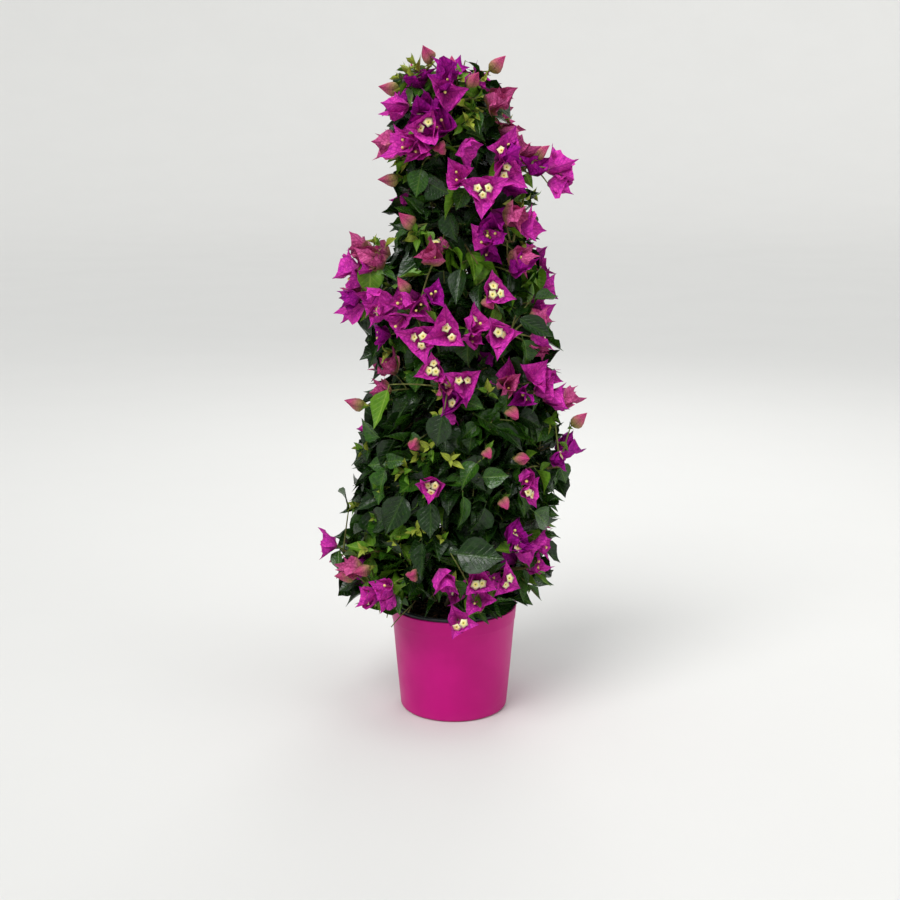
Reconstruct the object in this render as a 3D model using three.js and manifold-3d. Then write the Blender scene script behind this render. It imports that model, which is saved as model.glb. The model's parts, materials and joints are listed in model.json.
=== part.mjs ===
// A potted bougainvillea bush, trained as a column: a magenta cover pot with a dark inner pot
// and compost, one woody stem, arching boughs, masses of leaves round the stem, and sprays of
// blossom at the ends of the boughs.
// Millimetres, +Z up. The origin is the middle of the pot's flat underside and -Y is the front.
import * as THREE from "three";
import { mergeVertices } from "three/addons/utils/BufferGeometryUtils.js";
import Module from "manifold-3d";

const wasm = await Module();
wasm.setup();

// Driving dimensions
const SEED = 20411;
const GAP = 0.3; // left between neighbouring pieces
const POT = {
  rimRadius: 85,
  footRadius: 72.5,
  height: 144,
  wall: 2.4,
  floor: 3,
  footRound: 5,
  bandHeight: 20, // the slightly proud band under the rim
  bandStep: 0.8,
  sides: 32,
};
const INNER_POT = {
  lipOuter: 82.2,
  lipInner: 76.6,
  lipTop: 148,
  lipDepth: 7.5,
  lipRound: 1.8,
  wall: 1.6,
  floor: 2,
  clearance: 0.8, // from the cover pot
};
const COMPOST = { top: 139, dome: 2.6, lump: 1.5, flatRadius: 21, rings: 4, sides: 24 };
const TRUNK = {
  foot: COMPOST.top + GAP,
  tip: 742,
  footRadius: 8.5,
  tipRadius: 2.4,
  flareRadius: 6.5, // added at the very foot
  flareHeight: 16,
  flareLobes: 3,
  sway: 8,
  swayLength: 460,
  sides: 8,
  steps: 18,
};
const BOUGH = { footRadius: 3.6, tipRadius: 2.2, sides: 5, steps: 3, climb: 0.9, arch: 0.62 };
const STEM = { footRadius: 3.4, tipRadius: 2.6, sides: 3, steps: 2 };
const TWIG = { footRadius: 1.4, tipRadius: 1.2, sides: 3, steps: 1 };
const LEAF = {
  length: 72,
  width: 50,
  thickness: 2.2,
  widest: 0.42, // share of the length from the base
  ribPeak: 0.36,
  fold: 0.13, // rise of the edges, as a share of the width
  curl: 0.14, // drop of the tip, as a share of the length
};
const BLOSSOM = {
  radius: 35, // from the middle to a bract's tip
  shoulder: 0.74, // of the radius
  shoulderTurn: 34, // degrees either side of the tip
  notch: 0.34,
  cup: 0.62, // rise of the tips, as a share of the radius
  thickness: 3.4,
  bracts: 3,
  aside: 5, // from the twig to the blossom's middle
  sunk: 2.2, // of the twig's tip into it
};

// The crown's outline: how far its middle is shifted to the right, and its half width, by height.
const CROWN = [
  { height: 96, shift: -6, half: 108 },
  { height: 132, shift: -8, half: 126 },
  { height: 160, shift: -12, half: 140 },
  { height: 210, shift: -18, half: 146 },
  { height: 300, shift: 0, half: 138 },
  { height: 360, shift: 10, half: 140 },
  { height: 430, shift: 18, half: 128 },
  { height: 500, shift: 8, half: 118 },
  { height: 570, shift: -4, half: 122 },
  { height: 630, shift: 8, half: 98 },
  { height: 690, shift: 16, half: 88 },
  { height: 750, shift: -10, half: 84 },
  { height: 810, shift: -10, half: 76 },
  { height: 868, shift: -2, half: 44 },
];
const CROWN_DEPTH = 0.88; // of the width
const LAP = 42; // how far a leaf may hang out of its mass's own space
const SPRAY_LAP = 18; // and how far into the space of a spray

// Tiers of leafy masses round the stem. Bearings are in degrees: 0 is the right, 90 the back,
// 180 the left and 270 the front.
const LEAF_TIERS = [
  { name: "foot", low: 150, high: 262, count: 4, bearing: 225 },
  { name: "low", low: 262, high: 375, count: 4, bearing: 270 },
  { name: "middle", low: 375, high: 485, count: 3, bearing: 240 },
  { name: "waist", low: 485, high: 595, count: 3, bearing: 300 },
  { name: "high", low: 595, high: 700, count: 2, bearing: 250 },
  { name: "top", low: 700, high: 868, count: 1, bearing: 290 },
];
const LEAFY = { twigs: 6, topTwigs: 9, leaves: 5, tries: 7, hub: 0.42, tipShare: 0.74 };
const WOOD_LAP = 6; // how far a twig may stray out of its mass's own space
const TWIG_TRIES = 3;

// Sprays of blossom, each at the end of its own bough. Reach is from the stem to the middle.
const SPRAYS = [
  { name: "crown", height: 802, bearing: 264, reach: 42, radius: 44 },
  { name: "crown_left", height: 740, bearing: 232, reach: 68, radius: 48 },
  { name: "arm", height: 726, bearing: 337, reach: 98, radius: 52 },
  { name: "brow", height: 690, bearing: 300, reach: 82, radius: 42 },
  { name: "shoulder", height: 636, bearing: 322, reach: 96, radius: 50 },
  { name: "left", height: 590, bearing: 207, reach: 116, radius: 56 },
  { name: "band_left", height: 546, bearing: 246, reach: 98, radius: 54 },
  { name: "band_right", height: 522, bearing: 314, reach: 106, radius: 50 },
  { name: "waist", height: 460, bearing: 268, reach: 100, radius: 44 },
  { name: "right", height: 446, bearing: 338, reach: 122, radius: 54 },
  { name: "low_right", height: 344, bearing: 346, reach: 130, radius: 46 },
  { name: "rim_right", height: 220, bearing: 322, reach: 116, radius: 48 },
  { name: "rim_front", height: 170, bearing: 287, reach: 108, radius: 44 },
  { name: "rim_left", height: 178, bearing: 218, reach: 124, radius: 46 },
  { name: "left_tip", height: 228, bearing: 192, reach: 152, radius: 34 },
  { name: "back_top", height: 768, bearing: 78, reach: 54, radius: 46 },
  { name: "back_right", height: 600, bearing: 40, reach: 94, radius: 50 },
  { name: "back_left", height: 484, bearing: 128, reach: 98, radius: 52 },
  { name: "back_low", height: 318, bearing: 88, reach: 112, radius: 50 },
];
const SPRAY = { twigs: 6, tries: 9, tipShare: 0.5, outward: 0.7 };

const GOLDEN_SHARE = 0.7548776662; // the step of an even spread over a square
const GOLDEN_TURN = Math.PI * (3 - Math.sqrt(5));
const UP = new THREE.Vector3(0, 0, 1);

const material = (color, roughness, metalness = 0) =>
  new THREE.MeshStandardMaterial({ color, roughness, metalness });
const POT_PLASTIC = material(0xb31478, 0.42);
const INNER_PLASTIC = material(0x1b2420, 0.5);
const PEAT = material(0x2e2118, 1);
const BARK = material(0x7a6248, 0.9);
const FOLIAGE = material(0x2c5524, 0.5);
const BRACTS = material(0xb514a8, 0.6);

// A repeatable number from 0 to 1 for a list of whole numbers.
function draw(...keys) {
  let h = SEED;
  for (const key of keys) {
    h = Math.imul(h ^ (key + 40503), 0x85ebca6b);
    h ^= h >>> 13;
    h = Math.imul(h, 0xc2b2ae35);
    h ^= h >>> 16;
  }
  return (h >>> 0) / 2 ** 32;
}

const between = (low, high, share) => low + (high - low) * share;
const radians = THREE.MathUtils.degToRad;
// The level direction at a bearing in radians.
const level = (bearing) => new THREE.Vector3(Math.cos(bearing), Math.sin(bearing), 0);

// A closed geometry as a manifold-3d solid with its faces pointing out.
function solid(geometry) {
  const loose = geometry.index ? geometry.toNonIndexed() : geometry;
  const bare = new THREE.BufferGeometry();
  bare.setAttribute("position", loose.getAttribute("position"));
  const merged = mergeVertices(bare, 1e-4);
  const corners = merged.index.array;
  const build = (flip) => {
    const triVerts = [];
    for (let i = 0; i < corners.length; i += 3) {
      const [a, b, c] = [corners[i], corners[i + 1], corners[i + 2]];
      if (a === b || b === c || c === a) continue;
      triVerts.push(...(flip ? [a, c, b] : [a, b, c]));
    }
    return new wasm.Manifold(
      new wasm.Mesh({
        numProp: 3,
        vertProperties: merged.attributes.position.array,
        triVerts: new Uint32Array(triVerts),
      }),
    );
  };
  const made = build(false);
  return made.volume() < 0 ? build(true) : made;
}

// The largest piece of a solid that cutting may have left in several.
const largest = (made) => made.decompose().sort((a, b) => b.volume() - a.volume())[0];

// A solid as a named mesh.
function meshOf(name, made, look) {
  const data = made.getMesh();
  const places = new Float32Array(data.numVert * 3);
  for (let i = 0; i < data.numVert; i++) {
    places.set(data.vertProperties.subarray(i * data.numProp, i * data.numProp + 3), i * 3);
  }
  const geometry = new THREE.BufferGeometry();
  geometry.setAttribute("position", new THREE.BufferAttribute(places, 3));
  geometry.setIndex(new THREE.BufferAttribute(data.triVerts, 1));
  geometry.computeVertexNormals();
  const mesh = new THREE.Mesh(geometry, look);
  mesh.name = name;
  return mesh;
}

// A solid turned about Z from [radius, height] points that start and end on the axis.
function turned(profile, sides) {
  const points = profile.map(([r, z]) => new THREE.Vector2(r, z));
  return new THREE.LatheGeometry(points, sides).rotateX(Math.PI / 2);
}

// Points of a quarter round in a profile, from one angle to another in degrees.
function quarterRound(cx, cz, radius, from, to, steps) {
  const points = [];
  for (let i = 0; i <= steps; i++) {
    const a = radians(between(from, to, i / steps));
    points.push([cx + radius * Math.cos(a), cz + radius * Math.sin(a)]);
  }
  return points;
}

// The cover pot's outer radius at a height, without the band under the rim.
const potRadius = (z) => between(POT.footRadius, POT.rimRadius - POT.bandStep, z / POT.height);

function coverPot() {
  const { footRadius, footRound, height, rimRadius, wall, floor, bandHeight, bandStep } = POT;
  const bandFoot = height - bandHeight;
  return solid(
    turned(
      [
        [0, 0],
        ...quarterRound(footRadius - footRound, footRound, footRound, 270, 360, 2),
        [potRadius(bandFoot), bandFoot],
        [potRadius(bandFoot) + bandStep, bandFoot + 1.5],
        [rimRadius, height],
        [rimRadius - wall, height],
        [potRadius(floor) - wall, floor + 3],
        [potRadius(floor) - wall - 3, floor],
        [0, floor],
      ],
      POT.sides,
    ),
  );
}

const INNER_FOOT = POT.floor + GAP;
const innerFootRadius = potRadius(INNER_FOOT) - POT.wall - INNER_POT.clearance - 4;

function innerPot() {
  const { lipOuter, lipInner, lipTop, lipDepth, lipRound, wall, floor } = INNER_POT;
  const lipFoot = lipTop - lipDepth;
  const compostFoot = innerFootRadius - wall;
  const compostWall = (z) => between(compostFoot, lipInner, (z - INNER_FOOT) / (lipTop - INNER_FOOT));
  return solid(
    turned(
      [
        [0, INNER_FOOT],
        [innerFootRadius, INNER_FOOT],
        [lipInner + wall, lipFoot],
        [lipOuter, lipFoot],
        ...quarterRound(lipOuter - lipRound, lipTop - lipRound, lipRound, 0, 90, 2),
        ...quarterRound(lipInner + lipRound, lipTop - lipRound, lipRound, 90, 180, 2),
        [compostWall(COMPOST.top - 2), COMPOST.top - 2],
        [compostFoot, INNER_FOOT + floor],
        [0, INNER_FOOT + floor],
      ],
      POT.sides,
    ),
  );
}

// The compost fills the inner pot. Its top is lumpy, but flat under the stem's cut foot.
function compost() {
  const { top, dome, lump, flatRadius, rings, sides } = COMPOST;
  const bottom = INNER_FOOT + INNER_POT.floor + GAP;
  const footRadius = innerFootRadius - INNER_POT.wall - 1;
  const edgeRadius = INNER_POT.lipInner - 1.6;
  const profile = [[0, bottom], [footRadius, bottom], [edgeRadius, top - 3]];
  for (let ring = 0; ring < rings; ring++) {
    profile.push([between(edgeRadius - 2, flatRadius, ring / (rings - 1)), top]);
  }
  profile.push([0, top]);
  const geometry = turned(profile, sides);
  const places = geometry.getAttribute("position");
  for (let i = 0; i < places.count; i++) {
    const [x, y, z] = [places.getX(i), places.getY(i), places.getZ(i)];
    const reach = Math.hypot(x, y);
    if (z < top - 0.5 || reach < flatRadius + 1) continue;
    const lumps = draw(Math.round(x * 8) + 9000, Math.round(y * 8) + 9000) - 0.5;
    const swell = Math.sin(((reach - flatRadius) / (edgeRadius - flatRadius)) * Math.PI);
    places.setZ(i, top + lump * lumps + dome * swell);
  }
  return solid(geometry);
}

// A limb: a tube along a curve, closed at both ends. radiusAt takes the share of the way along
// and the angle round the tube.
function limb(curve, radiusAt, sides, steps) {
  const tube = new THREE.CylinderGeometry(1, 1, 1, sides, steps);
  const places = tube.getAttribute("position");
  const reference = curve.getPoint(1).sub(curve.getPoint(0)).normalize().cross(UP);
  if (reference.lengthSq() < 0.01) reference.set(1, 0, 0);
  for (let i = 0; i < places.count; i++) {
    const t = THREE.MathUtils.clamp(places.getY(i) + 0.5, 0, 1);
    const angle = Math.atan2(places.getZ(i), places.getX(i));
    const size = Math.hypot(places.getX(i), places.getZ(i)) * radiusAt(t, angle);
    const point = curve.getPoint(t);
    const along = curve.getTangent(t);
    const across = reference.clone().addScaledVector(along, -reference.dot(along)).normalize();
    const beside = new THREE.Vector3().crossVectors(along, across);
    point.addScaledVector(across, size * Math.cos(angle));
    point.addScaledVector(beside, size * Math.sin(angle));
    places.setXYZ(i, point.x, point.y, point.z);
  }
  return tube;
}

const tapered = (size, grown = 0) => (t) => between(size.footRadius, size.tipRadius, t) + grown;

// The middle of the trunk at a height.
function trunkAt(z) {
  const turn = ((z - TRUNK.foot) / TRUNK.swayLength) * 2 * Math.PI;
  const x = TRUNK.sway * Math.sin(turn * 0.8);
  const y = TRUNK.sway * 0.7 * (Math.cos(turn) - 1);
  return new THREE.Vector3(x, y, z);
}

const trunkCurve = new THREE.CatmullRomCurve3(
  Array.from({ length: TRUNK.steps + 1 }, (_, i) =>
    trunkAt(between(TRUNK.foot, TRUNK.tip, i / TRUNK.steps)),
  ),
);

// The share of the way up the trunk, spaced so that the flare at the foot gets short steps.
const trunkStep = (t) => t * (0.45 + 0.55 * t);

function trunkRadius(t, angle) {
  const height = t * (TRUNK.tip - TRUNK.foot);
  const flare = TRUNK.flareRadius * Math.exp(-height / (TRUNK.flareHeight / 2));
  const lobes = 0.75 + 0.25 * Math.cos(TRUNK.flareLobes * angle);
  return between(TRUNK.footRadius, TRUNK.tipRadius, t ** 0.8) + flare * lobes;
}

// The trunk's foot is cut level, so its lowest ring is laid flat.
function trunk(grown = 0) {
  const path = new THREE.Curve();
  path.getPoint = (t) => trunkCurve.getPoint(trunkStep(t));
  const reach = (t, angle) => trunkRadius(trunkStep(t), angle) + grown;
  const tube = limb(path, reach, TRUNK.sides, TRUNK.steps);
  const places = tube.getAttribute("position");
  for (let i = 0; i < places.count; i++) {
    if (places.getZ(i) < TRUNK.foot + 3) places.setZ(i, TRUNK.foot);
  }
  return solid(tube);
}

const trunkSolid = trunk();
const trunkGrown = trunk(GAP);

// The crown's shift and half width at a height.
function crownAt(z) {
  const above = Math.min(Math.max(CROWN.findIndex((row) => row.height > z), 1), CROWN.length - 1);
  const [a, b] = z >= CROWN.at(-1).height ? CROWN.slice(-2) : [CROWN[above - 1], CROWN[above]];
  const share = THREE.MathUtils.clamp((z - a.height) / (b.height - a.height), 0, 1);
  return { shift: between(a.shift, b.shift, share), half: between(a.half, b.half, share) };
}

// A point of the crown at a bearing and height, some share of the way out to its surface.
function crownPoint(bearing, z, share) {
  const { shift, half } = crownAt(z);
  const x = shift + share * half * Math.cos(bearing);
  return new THREE.Vector3(x, share * half * CROWN_DEPTH * Math.sin(bearing), z);
}

// Where a point lies in the crown: its bearing, and the share of the way out to the surface.
function crownPlace(point) {
  const { shift, half } = crownAt(point.z);
  const [x, y] = [(point.x - shift) / half, point.y / (half * CROWN_DEPTH)];
  return { bearing: Math.atan2(y, x), share: Math.hypot(x, y) };
}

const sprayMiddle = ({ height, bearing, reach }) =>
  trunkAt(Math.min(height, TRUNK.tip)).setZ(height).addScaledVector(level(radians(bearing)), reach);

// A bough leaves the trunk below its spray and arches out to the spray's inner side. Where it
// starts close to one that is already there, its foot is cut clear of it.
const boughs = [];
function addBough(spray, index) {
  const centre = sprayMiddle(spray);
  const out = level(radians(spray.bearing));
  const lowest = TRUNK.foot + 16 + 5 * (index % 3);
  const drop = BOUGH.climb * spray.reach + 0.4 * spray.radius;
  const startHeight = THREE.MathUtils.clamp(spray.height - drop, lowest, TRUNK.tip - 24);
  const start = trunkAt(startHeight);
  const tip = centre.clone().addScaledVector(out, -0.55 * spray.radius);
  tip.z -= 0.2 * spray.radius;
  const bend = start.clone().lerp(tip, 0.42);
  bend.z = between(start.z, tip.z, BOUGH.arch) + 0.1 * spray.reach;
  const curve = new THREE.QuadraticBezierCurve3(start, bend, tip);
  const shape = (grown) => solid(limb(curve, tapered(BOUGH, grown), BOUGH.sides, BOUGH.steps));
  const others = wasm.Manifold.union([trunkGrown, ...boughs.map((b) => b.grown)]);
  const body = largest(shape(0).subtract(others));
  boughs.push({ name: `bough_${spray.name}`, curve, body, grown: shape(GAP) });
}

SPRAYS.forEach(addBough);

// Every mass has a middle, a direction that it faces, and a space of its own.
const masses = SPRAYS.map((spray, i) => ({
  name: `blossom_${spray.name}`,
  centre: sprayMiddle(spray),
  out: level(radians(spray.bearing)),
  radius: spray.radius,
  bough: boughs[i],
}));
for (const tier of LEAF_TIERS) {
  for (let i = 0; i < tier.count; i++) {
    const bearing = radians(tier.bearing + (360 / tier.count) * i);
    masses.push({
      name: `leaves_${tier.name}_${i + 1}`,
      tier,
      bearing,
      halfTurn: Math.PI / tier.count,
      centre: crownPoint(bearing, (tier.low + tier.high) / 2, 0.6),
      out: level(bearing),
    });
  }
}

// True if a point lies in a mass's space, which may be widened by a margin.
function owns(mass, point, margin) {
  if (!mass.tier) return point.distanceTo(mass.centre) < mass.radius + margin / 2;
  if (point.z < mass.tier.low - margin || point.z > mass.tier.high + margin) return false;
  const { bearing, share } = crownPlace(point);
  if (share > 1.02) return false;
  const turn = Math.abs(Math.atan2(Math.sin(bearing - mass.bearing), Math.cos(bearing - mass.bearing)));
  const arc = (turn - mass.halfTurn) * share * crownAt(point.z).half;
  if (mass.tier.count > 1 && arc > margin) return false;
  const keepOff = Math.min(margin, SPRAY_LAP);
  return masses.every((m) => m.tier || point.distanceTo(m.centre) > m.radius - keepOff);
}

// The pot with everything in it, a little larger, which the plant keeps clear of.
const potSpace = solid(
  turned(
    [
      [0, -1],
      [POT.footRadius + 1.5, -1],
      [POT.rimRadius + 1.5, POT.height + 1],
      [INNER_POT.lipOuter + 1.5, INNER_POT.lipTop + 1],
      [INNER_POT.lipInner - 1, INNER_POT.lipTop + 1],
      [INNER_POT.lipInner - 6, COMPOST.top + COMPOST.dome + COMPOST.lump + 1],
      [0, COMPOST.top + COMPOST.dome + COMPOST.lump + 1],
    ],
    24,
  ),
);
const limbSpace = wasm.Manifold.union([trunkGrown, ...boughs.map((b) => b.grown)]);

// Everything placed so far, with its bounds.
const placed = [];
function put(made, owner, kind) {
  placed.push({ made, box: made.boundingBox(), owner, kind });
  return made;
}
put(limbSpace, null, "limb");
put(potSpace, null, "pot");

const boxesMeet = (a, b) => [0, 1, 2].every((i) => a.min[i] < b.max[i] && b.min[i] < a.max[i]);
function isFree(made, ignored) {
  const box = made.boundingBox();
  return placed.every(
    (other) =>
      ignored.includes(other.made) || !boxesMeet(box, other.box) || made.intersect(other.made).isEmpty(),
  );
}

// The corners of a geometry, and the lowest share of them that are at its base.
function fitsSpace(geometry, mass, margin) {
  const places = geometry.getAttribute("position");
  const point = new THREE.Vector3();
  for (let i = 0; i < places.count; i++) {
    if (!owns(mass, point.fromBufferAttribute(places, i), margin)) return false;
  }
  return true;
}

// Turns a geometry drawn with +Y along, +X across and +Z as its upper face.
function turnTo(geometry, at, along, face) {
  const side = new THREE.Vector3().crossVectors(along, face).normalize();
  const upper = new THREE.Vector3().crossVectors(side, along);
  return geometry.applyMatrix4(new THREE.Matrix4().makeBasis(side, along, upper).setPosition(at));
}

// A leaf blade of six faces, folded along its rib, drawn from its base along +Y. The cone's two
// ends become the side corners, and its three rim corners the base, the tip and the rib's top.
function leafBlade(size, grown) {
  const length = LEAF.length * size;
  const width = LEAF.width * size;
  const blade = new THREE.ConeGeometry(1, 2, 3, 1);
  const places = blade.getAttribute("position");
  for (let i = 0; i < places.count; i++) {
    const [x, y, z] = [places.getX(i), places.getY(i), places.getZ(i)];
    const rim = (Math.round((Math.atan2(x, z) / (2 * Math.PI)) * 3) + 3) % 3;
    if (Math.hypot(x, z) < 0.5) {
      places.setXYZ(i, Math.sign(y) * (width / 2 + grown), length * LEAF.widest, width * LEAF.fold);
    } else if (rim === 0) {
      places.setXYZ(i, 0, 0, 0);
    } else if (rim === 1) {
      places.setXYZ(i, 0, length + grown, -length * LEAF.curl);
    } else {
      places.setXYZ(i, 0, length * LEAF.ribPeak, LEAF.thickness + grown);
    }
  }
  return blade;
}

// An open blossom of three pointed bracts in a cup, drawn with +Y as its axis.
function blossomStar(size, grown) {
  const { bracts, shoulder, shoulderTurn, notch, cup, thickness, aside } = BLOSSOM;
  const radius = BLOSSOM.radius * size + grown;
  const corners = bracts * 4;
  const star = new THREE.SphereGeometry(1, corners, 2);
  const places = star.getAttribute("position");
  for (let i = 0; i < places.count; i++) {
    const [x, y, z] = [places.getX(i), places.getY(i), places.getZ(i)];
    if (Math.abs(y) > 0.5) {
      places.setXYZ(i, aside, y * (thickness / 2 + grown), 0);
      continue;
    }
    const corner = Math.round((Math.atan2(z, x) / (2 * Math.PI)) * corners);
    const step = ((corner % 4) + 4) % 4; // tip, shoulder, notch, shoulder
    const tipTurn = ((corner - (step === 3 ? -1 : step)) / corners) * 2 * Math.PI;
    const turns = [0, radians(shoulderTurn), Math.PI / bracts, -radians(shoulderTurn)];
    const share = [1, shoulder, notch, shoulder][step];
    const angle = tipTurn + turns[step];
    const out = radius * share;
    places.setXYZ(i, aside + out * Math.cos(angle), radius * cup * share ** 1.5, out * Math.sin(angle));
  }
  return star;
}

// Adds a limb to a mass if it keeps to the mass's space and is free.
function addLimb(mass, curve, size, ignored) {
  const shape = limb(curve, tapered(size), size.sides, size.steps);
  if (!fitsSpace(shape, mass, WOOD_LAP)) return null;
  if (!isFree(solid(limb(curve, tapered(size, GAP), size.sides, size.steps)), ignored)) return null;
  return put(solid(shape), mass, "wood");
}

// The curve of a mass's stem, from the trunk or the bough's tip to its hub.
function stemCurve(mass) {
  if (mass.bough) {
    const foot = mass.bough.curve.getPoint(1);
    const along = mass.bough.curve.getTangent(1);
    foot.addScaledVector(along, GAP + 0.1);
    const bend = foot.clone().addScaledVector(along, mass.radius * 0.3);
    const hub = mass.centre.clone().addScaledVector(mass.out, mass.radius * 0.1);
    return new THREE.QuadraticBezierCurve3(foot, bend, hub);
  }
  const { low, high, count } = mass.tier;
  if (count === 1) {
    const foot = trunkAt(TRUNK.tip + GAP + 0.1);
    const hub = crownPoint(mass.bearing, between(low, high, 0.74), 0);
    return new THREE.QuadraticBezierCurve3(foot, foot.clone().lerp(hub, 0.4).setX(foot.x), hub);
  }
  const foot = trunkAt(between(low, high, 0.2));
  const hub = crownPoint(mass.bearing, between(low, high, 0.55), LEAFY.hub);
  const bend = foot.clone().lerp(hub, 0.5);
  bend.z += 6;
  return new THREE.QuadraticBezierCurve3(foot, bend, hub);
}

// An even spread of directions over a sphere.
function evenDirection(index, count, turn) {
  const z = 1 - (2 * (index + 0.5)) / count;
  const flat = Math.sqrt(1 - z * z);
  const angle = index * GOLDEN_TURN + turn;
  return new THREE.Vector3(flat * Math.cos(angle), flat * Math.sin(angle), z);
}

const twigCount = (mass) => {
  if (!mass.tier) return SPRAY.twigs;
  return mass.tier.count === 1 ? LEAFY.topTwigs : LEAFY.twigs;
};

// Where a mass's twig is to end. A further attempt is turned to another side.
function twigEnd(mass, m, k, attempt) {
  if (!mass.tier) {
    const dir = evenDirection(k, SPRAY.twigs, draw(m, k, attempt) * Math.PI);
    dir.addScaledVector(mass.out, SPRAY.outward).normalize();
    return mass.centre.clone().addScaledVector(dir, mass.radius * SPRAY.tipShare);
  }
  const { low, high } = mass.tier;
  const across = ((k + 1) * GOLDEN_SHARE + draw(m) + attempt * 0.3) % 1;
  const bearing = mass.bearing + mass.halfTurn * between(-0.95, 0.95, across);
  const z = between(low, high, (k + 0.7) / twigCount(mass));
  return crownPoint(bearing, z, LEAFY.tipShare * between(0.9, 1.08, draw(m, k, 1)));
}

// Grows a mass's wood: a stem, and twigs spread evenly from it.
function growWood(mass, m) {
  mass.stem = stemCurve(mass);
  mass.stemSolid = put(solid(limb(mass.stem, tapered(STEM), STEM.sides, STEM.steps)), mass, "wood");
  mass.wood = [mass.stemSolid];
  mass.twigs = [];
  for (let k = 0; k < twigCount(mass); k++) {
    const start = mass.stem.getPoint(between(mass.tier?.count === 1 ? 0.1 : 0.5, 0.97, (k * 0.618) % 1));
    for (let attempt = 0; attempt < TWIG_TRIES * 3; attempt++) {
      const end = twigEnd(mass, m, k, Math.floor(attempt / 3));
      const tip = start.clone().lerp(end, 1 - 0.15 * (attempt % 3));
      const curve = new THREE.LineCurve3(start, tip);
      const made = addLimb(mass, curve, TWIG, mass.wood);
      if (!made) continue;
      mass.wood.push(made);
      mass.twigs.push({ curve, made, k });
      break;
    }
  }
}

// Adds a blossom at a twig's end, facing outwards.
function addBlossom(mass, m, twig) {
  const tip = twig.curve.getPoint(1);
  const ahead = twig.curve.getTangent(1);
  for (let attempt = 0; attempt < SPRAY.tries; attempt++) {
    const facing = ahead.clone().addScaledVector(mass.out, 0.5 + 0.25 * attempt);
    facing.z += between(-0.3, 0.4, draw(m, twig.k, 7, attempt));
    facing.normalize();
    const face = new THREE.Vector3(draw(m, twig.k, 8) - 0.5, draw(m, twig.k, 9) - 0.5, 0.4).normalize();
    const size = 1.06 - 0.06 * attempt;
    const middle = tip.clone().addScaledVector(facing, -BLOSSOM.sunk);
    const shape = (grown) => turnTo(blossomStar(size, grown), middle, facing, face);
    if (!fitsSpace(shape(0), mass, LAP)) continue;
    if (!isFree(solid(shape(GAP)), [twig.made])) continue;
    mass.blades.push(put(solid(shape(0)), mass, "blossom"));
    twig.bears = true;
    return;
  }
}

// Adds a leaf to a twig, hanging outwards and down.
function addLeaf(mass, m, twig, i) {
  const last = i === 0;
  const t = last ? 1 : between(0.98, 0.4, i / LEAFY.leaves);
  const at = twig.curve.getPoint(t - 0.01);
  const ahead = twig.curve.getTangent(t);
  for (let attempt = 0; attempt < LEAFY.tries; attempt++) {
    const side = (i + attempt) % 2 ? 1 : -1;
    const turn = last && !attempt ? 0 : side * between(0.3, 1.3, draw(m, twig.k, i, attempt, 1));
    const outward = level(crownPlace(at).bearing).addScaledVector(ahead, 0.5);
    const bearing = Math.atan2(outward.y, outward.x) + turn;
    const droop = between(0.35, 1.2, draw(m, twig.k, i, attempt, 2));
    const flat = level(bearing);
    const along = flat.clone().multiplyScalar(Math.cos(droop)).addScaledVector(UP, -Math.sin(droop));
    const face = flat.clone().multiplyScalar(Math.sin(droop)).addScaledVector(UP, Math.cos(droop));
    face.applyAxisAngle(along, between(-0.5, 0.5, draw(m, twig.k, i, attempt, 3)));
    const size = between(0.9, 1.12, draw(m, twig.k, i, 4)) * (1 - 0.05 * attempt);
    const shape = (grown) => turnTo(leafBlade(size, grown), at, along, face);
    if (!fitsSpace(shape(0), mass, LAP)) continue;
    if (!isFree(solid(shape(GAP)), [twig.made])) continue;
    mass.blades.push(put(solid(shape(0)), mass, "leaf"));
    twig.bears = true;
    return;
  }
}

masses.forEach(growWood);
for (const mass of masses) mass.blades = [];
masses.forEach((mass, m) => {
  if (!mass.tier) mass.twigs.forEach((twig) => addBlossom(mass, m, twig));
});
for (let i = 0; i < LEAFY.leaves; i++) {
  masses.forEach((mass, m) => {
    if (mass.tier) mass.twigs.forEach((twig) => addLeaf(mass, m, twig, i));
  });
}

// A mass in one piece: its stem, the twigs that carry something, and what they carry.
function fused(mass) {
  const wood = mass.twigs.filter((twig) => twig.bears).map((twig) => twig.made);
  const whole = wasm.Manifold.union([mass.stemSolid, ...wood, ...mass.blades]);
  return largest(whole.subtract(limbSpace));
}

const plant = new THREE.Group();
plant.add(meshOf("pot", coverPot(), POT_PLASTIC));
plant.add(meshOf("inner_pot", innerPot(), INNER_PLASTIC));
plant.add(meshOf("compost", compost(), PEAT));
plant.add(meshOf("trunk", trunkSolid, BARK));
for (const bough of boughs) plant.add(meshOf(bough.name, bough.body, BARK));
for (const mass of masses) {
  plant.add(meshOf(mass.name, fused(mass), mass.tier ? FOLIAGE : BRACTS));
}

export default plant;
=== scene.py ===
"""A potted bougainvillea bush, trained as a column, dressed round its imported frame.

The growth rule works in millimetres, as the part's source does; meshes are in metres.
The front is -Y, and the pot stands on Z = 0.
"""

from __future__ import annotations

import json
import logging
import math
from collections import defaultdict
from dataclasses import dataclass, field
from enum import Enum
from itertools import product
from typing import Any, Callable, Iterable, Sequence

import bpy
from mathutils import Euler, Matrix, Quaternion, Vector, noise

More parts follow.
